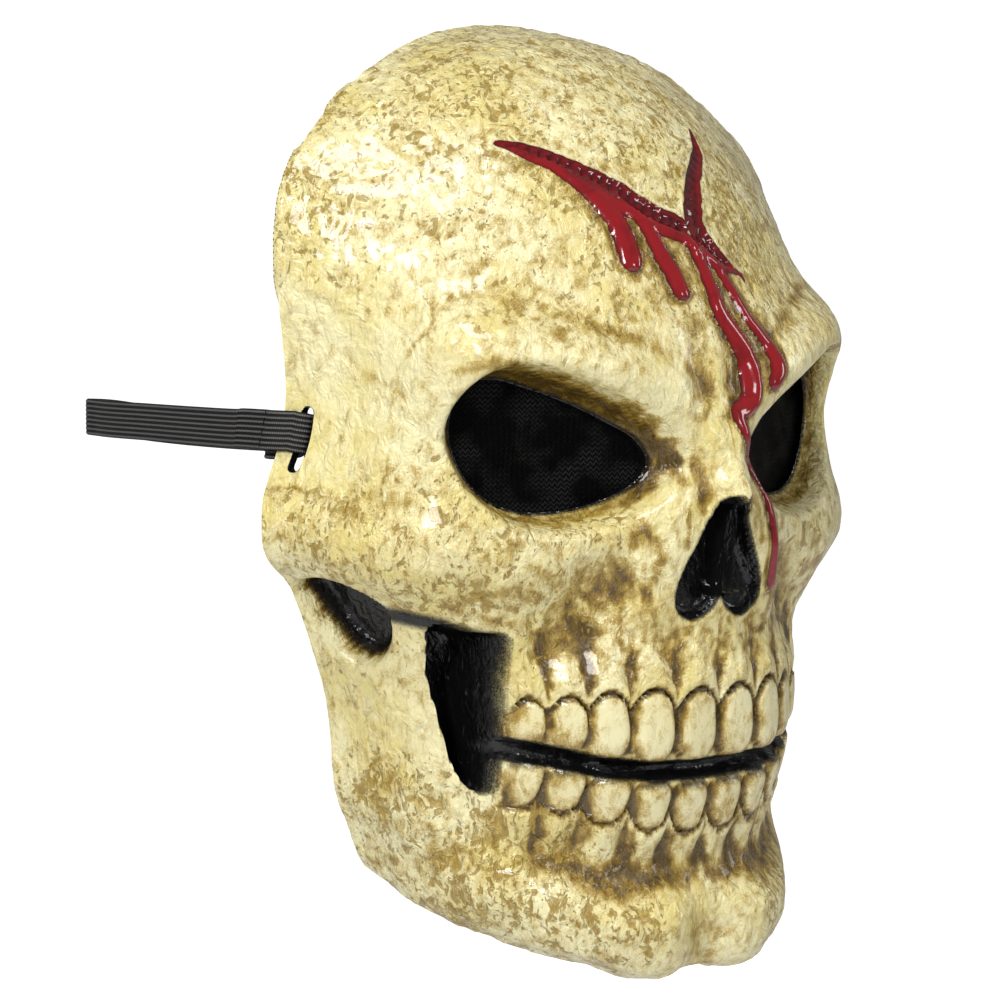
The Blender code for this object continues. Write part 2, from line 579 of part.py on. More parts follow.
def eye_panel(name, side, mat):
    """A flat panel in the plane of its eye hole, against the inside of the shell."""
    outline = grown(front_outline(EYE_OUTLINE)[::2], PANEL_MARGIN)
    tilt = (1.0 + EYE_PLANE_SLOPE**2) ** 0.5
    front_at = eye_plane(outline[:, 0]) - (WALL + GAP) * tilt
    back_at = front_at - PANEL_THICKNESS * tilt
    bm = bmesh.new()
    near = [(side * x, -f, z) for (x, z), f in zip(outline, front_at)]
    far = [(side * x, -f, z) for (x, z), f in zip(outline, back_at)]
    prism(bm, near, far)
    bmesh.ops.recalc_face_normals(bm, faces=bm.faces[:])
    return add_object(name, bm, mat)


def wall_beside_strap(wall, forward, z):
    """Distance from the middle line to one wall of the shell, at each forward place, at one height."""
    half = wall.shape[1] // 2
    side = wall[:, half:]
    reach = [np.interp(forward, row[::-1, 1], row[::-1, 0]) for row in side]
    level = [np.interp(forward, row[::-1, 1], row[::-1, 2]) for row in side]
    return np.array(
        [
            np.interp(z, [row[i] for row in level], [row[i] for row in reach])
            for i in range(len(forward))
        ]
    )


def strap_points(walls):
    """Middle line of the strap from one cut end to the other: x, forward, z and its lean, x over z."""
    off = STRAP_CLEARANCE + STRAP_THICKNESS / 2
    at = np.array([0.0, 0.3, 0.6, 1.0]) * SLOT_FORWARD
    edges = STRAP_HEIGHT + STRAP_WIDTH * np.array([0.5, -0.5])
    above, below = ([wall_beside_strap(wall, at, z) for wall in walls] for z in edges)
    outer_x = (above[0] + below[0]) / 2
    inner_x = (above[1] + below[1]) / 2
    lean = ((above[0] - below[0]) / STRAP_WIDTH).mean()
    outside = outer_x[:3] + off
    inside = inner_x[:3] - off
    radius = (outer_x[3] - inner_x[3]) / 2 + off
    turn = []
    for a in (0.1 * pi, 0.3 * pi, 0.5 * pi, 0.7 * pi, 0.9 * pi):
        f = SLOT_FORWARD - radius + radius * sin(a)
        middle = np.interp(f, at, (outer_x + inner_x) / 2)
        turn.append((middle - radius * cos(a), f, 0.0, lean))
    laid_on = STRAP_THICKNESS + GAP
    end_behind = TAB_LENGTH - SLOT_FORWARD
    met_behind = (end_behind + RIM_CLEARANCE) / 2
    tab = [(outside[0] - laid_on - b * TAB_SPREAD, -b, 0.0, lean) for b in (end_behind, met_behind)]
    tab.append((inside[0], -RIM_CLEARANCE, 0.0, lean))
    inward = [(x, f, 0.0, lean) for x, f in zip(inside, at)]
    outward = [(x, f, 0.0, lean) for x, f in zip(outside[::-1], at[2::-1])]
    left = (tab + inward + turn + outward)[::-1]
    right = [(-x, f, d, -tilt) for x, f, d, tilt in left[::-1]]
    route = [
        (p.x * HALF_WIDTH, -p.behind * STRAP_REACH, p.drop * STRAP_WIDTH, p.x * p.lean * lean)
        for p in STRAP_ROUTE
    ]
    points = np.array(right + route + left)
    points[:, 2] = STRAP_HEIGHT - points[:, 2]
    return points


def strap_object(walls, mat):
    points = smooth_path(strap_points(walls), each=2)
    ahead = np.gradient(points[:, :2], axis=0)
    ahead /= np.linalg.norm(ahead, axis=1, keepdims=True)
    sideways = np.column_stack([-ahead[:, 1], ahead[:, 0]]) * STRAP_THICKNESS / 2
    bm = bmesh.new()
    rings = []
    for (x, forward, z, lean), (dx, df) in zip(points, sideways):
        ring = []
        for s, up in ((1, 0.5), (-1, 0.5), (-1, -0.5), (1, -0.5)):
            rise = up * STRAP_WIDTH
            ring.append(bm.verts.new((x + s * dx + lean * rise, -(forward + s * df), z + rise)))
        rings.append(ring)
    for ring, following in zip(rings[:-1], rings[1:]):
        for i in range(4):
            j = (i + 1) % 4
            bm.faces.new((ring[i], ring[j], following[j], following[i]))
    bm.faces.new(rings[0][::-1])
    bm.faces.new(rings[-1])
    bmesh.ops.recalc_face_normals(bm, faces=bm.faces[:])
    return add_object("elastic_strap", bm, mat)


def main():
    clear_scene()
    bone = material("bone_plastic", (0.78, 0.70, 0.45), 0.25)
    net = material("black_net", (0.02, 0.02, 0.02), 0.8)
    elastic = material("black_elastic", (0.015, 0.015, 0.017), 0.7)
    walls = shell_walls()
    shell = shell_object(walls, bone)
    holes = shell.modifiers.new("holes", "BOOLEAN")
    holes.operation = "DIFFERENCE"
    holes.solver = "EXACT"
    holes.object = cutter_object()
    eye_panel("eye_mesh_right", -1.0, net)
    eye_panel("eye_mesh_left", 1.0, net)
    strap_object(walls, elastic)


main()
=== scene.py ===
# %% [markdown]
# The imported frame
#
# A skull mask is one thin moulded shell, with a net behind each eye hole and an elastic strap. Its
# solids are already packed in metres: the face looks along -Y, +Z is up, and the origin lies at the
# height of the eyes in the plane of the side rims. The dressed pieces are modelled in that frame, so
# that nothing has to be fitted later.

# %% Load the frame
from math import cos, pi, radians, sin

import bmesh
import bpy
import numpy as np
from mathutils import Matrix, Vector, noise
from mathutils.kdtree import KDTree


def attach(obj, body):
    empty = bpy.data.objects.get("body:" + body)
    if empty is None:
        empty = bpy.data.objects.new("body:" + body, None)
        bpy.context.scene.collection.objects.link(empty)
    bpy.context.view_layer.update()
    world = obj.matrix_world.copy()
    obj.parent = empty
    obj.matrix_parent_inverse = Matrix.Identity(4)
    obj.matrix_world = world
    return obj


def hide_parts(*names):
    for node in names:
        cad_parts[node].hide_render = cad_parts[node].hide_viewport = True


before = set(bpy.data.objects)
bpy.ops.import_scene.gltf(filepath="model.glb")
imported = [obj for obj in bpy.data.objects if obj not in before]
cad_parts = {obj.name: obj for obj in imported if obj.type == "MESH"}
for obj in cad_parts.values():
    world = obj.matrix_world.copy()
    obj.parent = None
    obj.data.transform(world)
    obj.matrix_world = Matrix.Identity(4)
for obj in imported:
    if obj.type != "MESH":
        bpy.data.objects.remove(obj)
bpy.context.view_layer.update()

# %% [markdown]
# The camera
#
# The photograph looks at the mask from its right, 40 degrees round from the front and 5 degrees up,
# from about 1.25 m away. A small shift of the lens keeps the mask where it lies in the picture, with
# the camera's axis still through the mask, so that other views of it stay centred.

# %% Camera
CAMERA_ROUND = radians(40)
CAMERA_UP = radians(5)
CAMERA_AWAY = 1.25
CAMERA_MIDDLE = 0.033
PICTURE_SPAN = 1000 / 3700  # metres across the picture at the mask
LENS_SHIFT = (-0.034, -0.0746)


def placed(name, data):
    """An object with this data, in the scene."""
    made = bpy.data.objects.new(name, data)
    bpy.context.scene.collection.objects.link(made)
    return made


level_part = cos(CAMERA_UP)
toward = Vector((-sin(CAMERA_ROUND) * level_part, -cos(CAMERA_ROUND) * level_part, sin(CAMERA_UP)))
right = Vector((cos(CAMERA_ROUND), -sin(CAMERA_ROUND), 0))
upward = toward.cross(right)
lens = bpy.data.cameras.new("camera")
lens.sensor_width = 36
lens.lens = lens.sensor_width * CAMERA_AWAY / PICTURE_SPAN
lens.shift_x, lens.shift_y = LENS_SHIFT
lens.clip_start = 0.05
lens.clip_end = 50
camera = placed("camera", lens)
turn = Matrix((right, upward, toward)).transposed().to_4x4()
camera.matrix_world = Matrix.Translation(toward * (CAMERA_MIDDLE + CAMERA_AWAY)) @ turn
bpy.context.scene.camera = camera
print("lens", round(lens.lens, 1), "mm")

# %% [markdown]
# Floor and light
#
# The photograph is a cut-out on white. A white floor that curves up into a wall gives that ground
# without a horizon. It lies well below the mask, which hangs in the air as if on a stand, so no shadow
# reaches the picture. Glossy plastic shows its lights as highlights, so they are large soft panels:
# one high in front and to the left, one to the right, and one above.

# %% Floor
FLOOR_HEIGHT = -0.55
FLOOR_REACH = 6.0
WALL_START = 2.5
WALL_BEND = 1.6
GROUND_GLOW = 0.85  # only the camera sees it, so it adds no light to the mask


def plain_material(name, colour, roughness):
    mat = bpy.data.materials.new(name)
    mat.use_nodes = True
    shader = mat.node_tree.nodes["Principled BSDF"]
    shader.inputs["Base Color"].default_value = (*colour, 1)
    shader.inputs["Roughness"].default_value = roughness
    return mat


def finished_mesh(name, bm):
    mesh = bpy.data.meshes.new(name)
    bm.to_mesh(mesh)
    bm.free()
    return mesh


bm = bmesh.new()
bmesh.ops.create_grid(bm, x_segments=1, y_segments=40, size=FLOOR_REACH)
for vert in bm.verts:
    ahead = vert.co.y - WALL_START
    if ahead > 0:
        angle = min(ahead / WALL_BEND, pi / 2)
        straight = max(0, ahead - WALL_BEND * pi / 2)
        vert.co.y = WALL_START + WALL_BEND * sin(angle)
        vert.co.z = WALL_BEND * (1 - cos(angle)) + straight
    vert.co.z += FLOOR_HEIGHT
floor_mesh = finished_mesh("floor", bm)
ground = plain_material("pale_floor", (0.93, 0.93, 0.93), 0.6)
seen = ground.node_tree.nodes.new("ShaderNodeLightPath").outputs["Is Camera Ray"]
ground_glow = ground.node_tree.nodes.new("ShaderNodeMath")
ground_glow.operation = "MULTIPLY"
ground_glow.inputs[1].default_value = GROUND_GLOW
ground.node_tree.links.new(seen, ground_glow.inputs[0])
ground_shader = ground.node_tree.nodes["Principled BSDF"]
ground_shader.inputs["Emission Color"].default_value = (1, 1, 1, 1)
ground.node_tree.links.new(ground_glow.outputs[0], ground_shader.inputs["Emission Strength"])
floor_mesh.materials.append(ground)
floor = placed("floor", floor_mesh)
print("floor and wall:", len(floor_mesh.polygons), "strips")

# %% Lights
ROOM_LIGHT = 0.22
ROOM_SEEN = 1.2

world = bpy.data.worlds.new("studio")
bpy.context.scene.world = world
world.use_nodes = True
surround = world.node_tree.nodes["Background"]
surround.inputs["Color"].default_value = (1, 1, 1, 1)
seen = world.node_tree.nodes.new("ShaderNodeLightPath").outputs["Is Camera Ray"]
brightness = world.node_tree.nodes.new("ShaderNodeMapRange")
brightness.inputs["To Min"].default_value = ROOM_LIGHT
brightness.inputs["To Max"].default_value = ROOM_SEEN
world.node_tree.links.new(seen, brightness.inputs[0])
world.node_tree.links.new(brightness.outputs[0], surround.inputs["Strength"])
bpy.context.scene.view_settings.view_transform = "Standard"


def soft_panel(name, place, size, watts):
    data = bpy.data.lights.new(name, "AREA")
    data.shape = "RECTANGLE"
    data.size, data.size_y = size
    data.energy = watts
    lamp = placed(name, data)
    lamp.location = place
    lamp.rotation_euler = (-Vector(place)).to_track_quat("-Z", "Y").to_euler()


soft_panel("front_left_panel", (-1.6, -0.8, 0.95), (0.4, 0.55), 25)
soft_panel("front_panel", (-0.1, -1.9, 0.7), (0.4, 0.4), 6)
soft_panel("right_panel", (1.5, -1.0, 0.5), (0.3, 0.9), 6)
soft_panel("top_panel", (-0.75, -0.38, 1.7), (0.5, 0.4), 17)
print("lights placed")

# %% [markdown]
# Sizes and tables
#
# The shell's form is the one of its solid: sections from chin to crown, forms that are raised or sunk
# along short paths, and the outlines of its holes. They are given here as in the solid, as shares of
# three named sizes, so that the dressed shell lies on the solid it stands for.

# %% Sizes
HALF_WIDTH = 0.094
DEPTH = 0.088
HEIGHT = 0.256
WALL = 0.0018
GAP = 0.0003
MM = 0.001
EYE_PLANE_FORWARD = 0.0745
EYE_PLANE_SLOPE = 0.525
EYE_LIP = 0.0065
EYE_LIP_CURL = 1.3
PANEL_MARGIN = 0.0055
PANEL_THICKNESS = 0.001
NOSE_FLOOR_FORWARD = 0.0725
NOSTRIL_RADIUS = 0.0025
NOSTRIL_SIDE = 0.0046
NOSTRIL_DROP = 0.0385
NOSTRIL_DEPTH = 0.0011
MOUTH_SIDE_DEPTH = 0.021
MOUTH_GAP_DEPTH = 0.006
EAR_GAP_DEPTH = 0.009
RECESS_EDGE = 0.0022
TOOTH_RELIEF = 0.0024
ROOT_RELIEF = 0.0016
GUM_RELIEF = 0.0010
GUM_SAG = 0.0052  # how far the gum comes down between two teeth
DRIP_WIDTH = 0.0056
DRIP_RELIEF = 0.0019
STRAP_WIDTH = 0.0105
STRAP_THICKNESS = 0.0012
STRAP_HEIGHT = 0.0036
SLOT_LENGTH = 0.0172
SLOT_WIDTH = 0.0034
SLOT_FORWARD = 0.0056
SLOT_HEIGHT = 0.0014
TAB_LENGTH = 0.0130
FOLD_DROP = 0.0028
TAB_SPREAD = 0.1
RIM_CLEARANCE = 0.0026
STRAP_CLEARANCE = 0.0008
STRAP_REACH = 0.127
FACE_LEAN = 0.60
SIDE_LEAN = 0.35

# %% Sections of the shell
# Each row: the middle's forward and height, then sideways and forward of three points, then the rim's
# sideways, forward and height, then the bow of its height.
SECTIONS = (
    (0.682, -0.562, 0.181, 0.693, 0.351, 0.58, 0.511, 0.318, 0.638, 0, -0.455, 1.5),
    (0.784, -0.552, 0.191, 0.795, 0.351, 0.699, 0.532, 0.398, 0.665, 0, -0.441, 1.5),
    (0.83, -0.5, 0.191, 0.835, 0.372, 0.722, 0.564, 0.42, 0.697, 0, -0.406, 1.75),
    (0.784, -0.426, 0.191, 0.761, 0.372, 0.636, 0.596, 0.409, 0.734, 0, -0.367, 2),
    (0.83, -0.352, 0.213, 0.807, 0.404, 0.67, 0.638, 0.392, 0.755, 0, -0.312, 2),
    (0.858, -0.293, 0.213, 0.835, 0.415, 0.699, 0.665, 0.381, 0.782, 0, -0.266, 2),
    (0.864, -0.238, 0.213, 0.824, 0.426, 0.682, 0.681, 0.375, 0.819, 0, -0.223, 2),
    (0.869, -0.18, 0.213, 0.818, 0.457, 0.67, 0.702, 0.46, 0.888, 0, -0.16, 2),
    (0.932, -0.086, 0.202, 0.841, 0.479, 0.705, 0.739, 0.534, 1, 0, -0.078, 2),
    (0.898, 0, 0.191, 0.801, 0.457, 0.67, 0.734, 0.5, 0.936, 0, 0.016, 2),
    (0.864, 0.094, 0.255, 0.824, 0.495, 0.727, 0.707, 0.58, 0.931, 0, 0.105, 2),
    (0.761, 0.176, 0.245, 0.71, 0.479, 0.585, 0.66, 0.432, 0.943, 0, 0.18, 2),
    (0.648, 0.25, 0.223, 0.602, 0.441, 0.483, 0.638, 0.307, 0.926, -0.011, 0.246, 2),
    (0.455, 0.336, 0.181, 0.426, 0.372, 0.33, 0.585, 0.165, 0.862, -0.034, 0.293, 2),
    (0.136, 0.406, 0.149, 0.128, 0.309, 0.098, 0.5, 0.04, 0.777, -0.062, 0.324, 2),
    (-0.239, 0.432, 0.122, -0.227, 0.255, -0.193, 0.415, -0.153, 0.638, -0.102, 0.363, 2),
)
SECTION_PLACES = (0.0, 0.19, 0.39, 0.63, 1.0)

# %% Raised and sunken forms
# Each row of a path: its place, its radius as a share of HALF_WIDTH, its height as a share of DEPTH.
FRONT_FORMS = (
    # brow ridge
    (
        (0.085, 0.023, 0.128, 0.034), (0.191, 0.047, 0.138, 0.051), (0.34, 0.074, 0.138, 0.057),
        (0.511, 0.102, 0.138, 0.051), (0.66, 0.109, 0.138, 0.032),
    ),
    # frown
    (
        (0.053, 0.117, 0.096, -0.014), (0.064, 0.055, 0.085, -0.023), (0.043, 0.031, 0.074, -0.011),
    ),
    # nasal bone
    (
        (0, 0.031, 0.096, 0.006), (0, 0, 0.106, 0.034), (0, -0.035, 0.106, 0.074),
        (0, -0.059, 0.096, 0.08),
    ),
    # nose side
    (
        (0.16, -0.047, 0.096, 0.023), (0.191, -0.109, 0.096, 0.034), (0.202, -0.164, 0.106, 0.023),
    ),
    # cheek front
    (
        (0.468, -0.117, 0.16, 0.017), (0.596, -0.125, 0.181, 0.045), (0.734, -0.109, 0.191, 0.034),
    ),
    # canine hollow
    (
        (0.362, -0.148, 0.149, -0.045), (0.426, -0.195, 0.128, -0.04),
    ),
    # chin lobe
    (
        (0.191, -0.5, 0.191, 0.025), (0.181, -0.535, 0.16, 0.027),
    ),
    # chin cleft
    (
        (0, -0.469, 0.117, -0.003), (0, -0.512, 0.128, -0.018), (0, -0.555, 0.128, -0.025),
    ),
    # mental hollow
    (
        (0.085, -0.438, 0.128, -0.023), (0.277, -0.453, 0.128, -0.028), (0.426, -0.438, 0.128, -0.017),
    ),
    # jaw body
    (
        (0.362, -0.5, 0.149, 0.023), (0.511, -0.461, 0.149, 0.028),
    ),
)
SIDE_FORMS = (
    # cheek arch
    (
        (-0.068, -0.094, 0.16, 0.04), (0.205, -0.102, 0.17, 0.045), (0.432, -0.113, 0.17, 0.034),
    ),
    # temple
    (
        (0.091, 0.047, 0.277, -0.028), (0.227, 0.086, 0.277, -0.04), (0.295, 0.133, 0.213, -0.023),
    ),
    # jaw angle
    (
        (0, -0.359, 0.234, 0.017), (0.182, -0.383, 0.213, 0.017),
    ),
)

# %% Outlines and teeth
EYE_OUTLINE = (
    (0.677, 0.027), (0.656, 0.052), (0.617, 0.069), (0.569, 0.071), (0.489, 0.062), (0.379, 0.045),
    (0.282, 0.025), (0.202, 0.004), (0.177, -0.016), (0.198, -0.034), (0.249, -0.048), (0.319, -0.059),
    (0.445, -0.067), (0.511, -0.065), (0.574, -0.055), (0.628, -0.035), (0.666, -0.005),
)
NOSE_OUTLINE = (
    (0, -0.064), (0.022, -0.054), (0.042, -0.056), (0.062, -0.074), (0.1, -0.105), (0.138, -0.133),
    (0.15, -0.152), (0.135, -0.168), (0.095, -0.177), (0.045, -0.17), (0, -0.148),
)
MOUTH_SIDE_OUTLINE = (
    (0.702, -0.186), (0.69, -0.204), (0.66, -0.258), (0.638, -0.297), (0.614, -0.33),
    (0.582, -0.352), (0.556, -0.357), (0.548, -0.336), (0.556, -0.258), (0.552, -0.212),
    (0.558, -0.196), (0.61, -0.191), (0.684, -0.183),
)
EAR_GAP_OUTLINE = (
    (0.034, -0.152), (0.045, -0.172), (0.074, -0.195), (0.114, -0.215), (0.17, -0.225),
    (0.227, -0.221), (0.273, -0.203), (0.29, -0.168), (0.216, -0.146), (0.102, -0.141),
)
# The ridge between the nostrils, with its radius and height.
SEPTUM = (
    (0, -0.066, 0.016, 0.017), (0, -0.109, 0.013, 0.011), (0, -0.142, 0.015, 0.06),
    (0, -0.152, 0.026, 0.075),
)
# Teeth: middle and half width, lower and upper end.
UPPER_TEETH = (
    (0.073, 0.073, -0.33, -0.252), (0.215, 0.066, -0.328, -0.25), (0.331, 0.055, -0.322, -0.252),
    (0.422, 0.048, -0.312, -0.256), (0.503, 0.042, -0.303, -0.258),
)
LOWER_TEETH = (
    (0.066, 0.064, -0.406, -0.348), (0.192, 0.057, -0.4, -0.345), (0.309, 0.055, -0.391, -0.338),
    (0.408, 0.047, -0.379, -0.33), (0.491, 0.04, -0.366, -0.322),
)
MOUTH_GAP = (
    (0, -0.346, -0.331), (0.191, -0.344, -0.329), (0.34, -0.337, -0.322), (0.436, -0.327, -0.311),
    (0.56, -0.319, -0.3),
)

# %% The wound
# Each row of a path: sideways and height as shares, then the half width in millimetres.
LONG_CUT = (
    (-0.416, 0.31, 0.4), (-0.363, 0.306, 0.9), (-0.305, 0.296, 1.2), (-0.231, 0.28, 1.5),
    (-0.151, 0.261, 1.8), (-0.093, 0.241, 2), (-0.004, 0.225, 2),
)
GASH = (
    (0.243, 0.319, 0.3), (0.215, 0.298, 1.5), (0.138, 0.275, 2), (0.09, 0.252, 2.8), (0.053, 0.228, 3),
    (0.063, 0.217, 2.6),
)
LOW_CUT = (
    (0.054, 0.217, 2.2), (0.08, 0.209, 1.9), (0.116, 0.192, 1.5), (0.144, 0.182, 0.9),
)
CUT_LIP = (
    (-0.405, 0.308, 0.4), (-0.36, 0.296, 0.8), (-0.318, 0.288, 1), (-0.29, 0.277, 1.2),
    (-0.234, 0.261, 1.5), (-0.171, 0.244, 1.6), (-0.134, 0.236, 1.4), (-0.079, 0.222, 1.4),
    (-0.013, 0.214, 1.5), (0.048, 0.195, 1.6), (0.101, 0.181, 1.4), (0.152, 0.179, 1),
)
DRIPS = (
    (
        (-0.287, 0.271, 0.9), (-0.25, 0.258, 1.9), (-0.22, 0.239, 2.6), (-0.202, 0.22, 3),
        (-0.199, 0.203, 3.1), (-0.202, 0.19, 2.8),
    ),
    (
        (-0.135, 0.23, 1.4), (-0.113, 0.214, 2.2), (-0.099, 0.192, 2.6), (-0.083, 0.176, 2.8),
        (-0.076, 0.159, 2.6),
    ),
    (
        (0.013, 0.203, 1.7), (0.03, 0.182, 2.2), (0.039, 0.16, 2.4), (0.05, 0.134, 2.8),
        (0.087, 0.109, 3), (0.113, 0.087, 3.1), (0.112, 0.062, 3), (0.077, 0.038, 2.6),
        (0.055, 0.015, 2.2), (0.096, -0.013, 2.1), (0.154, -0.039, 2.2), (0.191, -0.066, 2.4),
        (0.213, -0.105, 2.6), (0.218, -0.148, 2.8),
    ),
    (
        (0.091, 0.176, 1.4), (0.111, 0.165, 1.9), (0.131, 0.147, 2.1), (0.151, 0.129, 2),
        (0.179, 0.115, 2.1), (0.213, 0.096, 2.5), (0.221, 0.076, 2.8), (0.198, 0.061, 2.5),
    ),
)
HAIRLINE = (
    (0.101, 0.181, 0.9), (0.152, 0.179, 0.8), (0.197, 0.171, 0.6), (0.218, 0.15, 0.2),
)

# %% Places of the brown wash
# Each path is a brush stroke: sideways, height, radius in millimetres and strength.
WASH = (
    # canine pit
    ((0.389, -0.176, 2.4, 1.0), (0.368, -0.192, 2.6, 1.1), (0.359, -0.205, 2, 0.8)),
    # beside the nose
    ((0.253, -0.074, 1.4, 0.5), (0.215, -0.114, 1.5, 0.6), (0.239, -0.155, 1.4, 0.5)),
    # nose corner
    ((0.133, -0.066, 1.2, 0.5), (0.144, -0.102, 1.4, 0.6)),
    # streak to the mouth
    ((0.323, -0.114, 1.2, 0.5), (0.228, -0.155, 1.3, 0.5), (0.199, -0.198, 1.2, 0.5)),
    # under the brow
    (
        (0.72, 0.084, 1.8, 0.6), (0.652, 0.091, 2.4, 0.7), (0.44, 0.066, 2.6, 0.8),
        (0.334, 0.048, 2.6, 0.8), (0.209, 0.018, 3, 1), (0.16, -0.01, 3.4, 1.2),
    ),
    # inner corner of the eye
    ((0.15, 0.002, 2.2, 0.7), (0.135, -0.036, 1.8, 0.7)),
    # between the brows
    ((0.104, 0.029, 1.8, 0.5), (0.019, 0.047, 1.6, 0.35)),
    # under the cheek
    (
        (0.702, -0.158, 1.8, 0.4), (0.653, -0.151, 2, 0.5), (0.585, -0.141, 2, 0.4),
        (0.505, -0.153, 1.8, 0.5),
    ),
    # cheek patch
    ((0.559, -0.117, 1.6, 0.4), (0.489, -0.129, 1.5, 0.4)),
    # upper roots 1
    ((0.47, -0.188, 1.2, 0.8), (0.47, -0.234, 1, 0.9)),
    # upper roots 2
    ((0.372, -0.219, 1.2, 0.8), (0.374, -0.242, 1.1, 0.9)),
    # upper roots 3
    ((0.268, -0.188, 1, 0.5), (0.27, -0.238, 1, 0.9)),
    # upper roots 4
    ((0.146, -0.191, 1, 0.5), (0.145, -0.238, 1, 0.9)),
    # upper roots 5
    ((0, -0.195, 1, 0.5), (0, -0.238, 1, 0.9)),
    # lower roots 1
    ((0.45, -0.383, 1.4, 0.8), (0.443, -0.402, 1.8, 1)),
    # lower roots 2
    ((0.351, -0.391, 1.4, 0.8), (0.351, -0.408, 2, 1)),
    # lower roots 3
    ((0.24, -0.402, 1.4, 0.8), (0.241, -0.423, 2.1, 1.1)),
    # lower roots 4
    ((0.123, -0.41, 1.4, 0.8), (0.119, -0.431, 2.1, 1.1)),
    # lower roots 5
    ((0.009, -0.414, 1.2, 0.7), (0.009, -0.438, 1.9, 1)),
    # under the lower roots
    ((0.447, -0.43, 2.4, 0.25), (0.234, -0.445, 2.8, 0.25), (0, -0.457, 2.4, 0.2)),
    # jaw
    (
        (0.714, -0.329, 2.2, 0.2), (0.671, -0.393, 3, 0.2), (0.606, -0.43, 3.4, 0.2),
        (0.468, -0.453, 3.2, 0.2),
    ),
)
# The stain on the bone between the long drips and the gash.
STAINED_FOREHEAD = ((-0.2, 0.19), (-0.02, 0.12))
# The shadow under the cheekbone, from the recess before the ear to the one beside the mouth.
CHEEK_SHADOW = ((0.83, -0.166), (0.70, -0.181))
# The edge of the smooth patch at the temple, as forward and height.
TEMPLE_EDGE = (
    (0.009, -0.045), (0.078, -0.043), (0.163, -0.05), (0.267, -0.054), (0.326, -0.048),
    (0.366, -0.031), (0.374, -0.002), (0.37, 0.075), (0.41, 0.094), (0.467, 0.127), (0.442, 0.147),
    (0.39, 0.165), (0.33, 0.184),
)

# %% Route of the strap
# Sideways, distance behind the rim plane, drop below the slots and lean, as shares.
STRAP_ROUTE = (
    (-0.935, 0.06, 0.02, 1), (-0.905, 0.25, 0.14, 0.3), (-0.8, 0.62, 0.35, 0), (-0.7, 0.92, 0.53, 0),
    (-0.66, 0.995, 0.57, 0), (-0.61, 0.985, 0.6, 0), (-0.5, 0.9, 0.78, 0), (-0.2, 0.7, 1.05, 0),
    (0.2, 0.46, 1.05, 0), (0.6, 0.25, 0.65, 0), (0.84, 0.13, 0.22, 0.3), (0.935, 0.06, 0.04, 1),
)

# %% [markdown]
# Curves and distances
#
# Two tools do most of the shaping. A smooth curve through a few points fills in a section or a route
# between its given places. The distance of a place from a path or from an outline says how far a
# brush stroke, a recess or a coat of paint reaches there, so one table serves both form and colour.

# %% Smooth curves


def ease(t):
    t = np.clip(t, 0.0, 1.0)
    return t * t * (3.0 - 2.0 * t)


def rising(field, start, over):
    """Nothing up to start, and eased up to 1 over the given length."""
    return ease((field - start) / over)


def falling(field, start, over):
    """Nothing from start on, and eased up to 1 over the given length before it."""
    return ease((start - field) / over)


def close_to(far, reach):
    """1 on a line or inside an outline, and nothing from reach on."""
    return ease(1 - far / reach)


def bell(field, middle, width):
    return np.exp(-(((field - middle) / width) ** 2))


def quarter_round(share):
    """The height of a rounded edge, at a share from 0 to 1 of its width."""
    return np.sqrt(np.clip(1 - (1 - np.clip(share, 0, 1)) ** 2, 0, None))


def smooth_curve(knots, values, at):
    knots = np.asarray(knots, float)
    values = np.asarray(values, float)
    steps = np.diff(knots)
    column = (-1,) + (1,) * (values.ndim - 1)
    slopes = np.diff(values, axis=0) / steps.reshape(column)
    before = steps[:-1].reshape(column)
    after = steps[1:].reshape(column)
    inner = (after * slopes[:-1] + before * slopes[1:]) / (before + after)
    tangents = np.concatenate([slopes[:1], inner, slopes[-1:]])
    at = np.asarray(at, float)
    i = np.clip(np.searchsorted(knots, at, side="right") - 1, 0, len(steps) - 1)
    step = steps[i].reshape(column)
    t = ((at - knots[i]) / steps[i]).reshape(column)
    return (
        (2 * t**3 - 3 * t**2 + 1) * values[i]
        + (t**3 - 2 * t**2 + t) * step * tangents[i]
        + (3 * t**2 - 2 * t**3) * values[i + 1]
        + (t**3 - t**2) * step * tangents[i + 1]
    )


def smooth_path(rows, each=5):
    rows = np.asarray(rows, float)
    steps = np.linalg.norm(np.diff(rows, axis=0), axis=1)
    knots = np.concatenate([[0.0], np.cumsum(steps)])
    at = np.interp(np.linspace(0.0, len(steps), each * len(steps) + 1), np.arange(len(knots)), knots)
    return smooth_curve(knots, rows, at)


def closed_curve(points, each=5):
    points = np.asarray(points, float)
    round_twice = np.concatenate([points[-2:], points, points[:2]])
    steps = np.linalg.norm(np.diff(round_twice, axis=0), axis=1)
    knots = np.concatenate([[0.0], np.cumsum(steps)])
    at = np.concatenate(
        [np.linspace(knots[i + 2], knots[i + 3], each, endpoint=False) for i in range(len(points))]
    )
    return smooth_curve(knots, round_twice, at)


# %% Distances


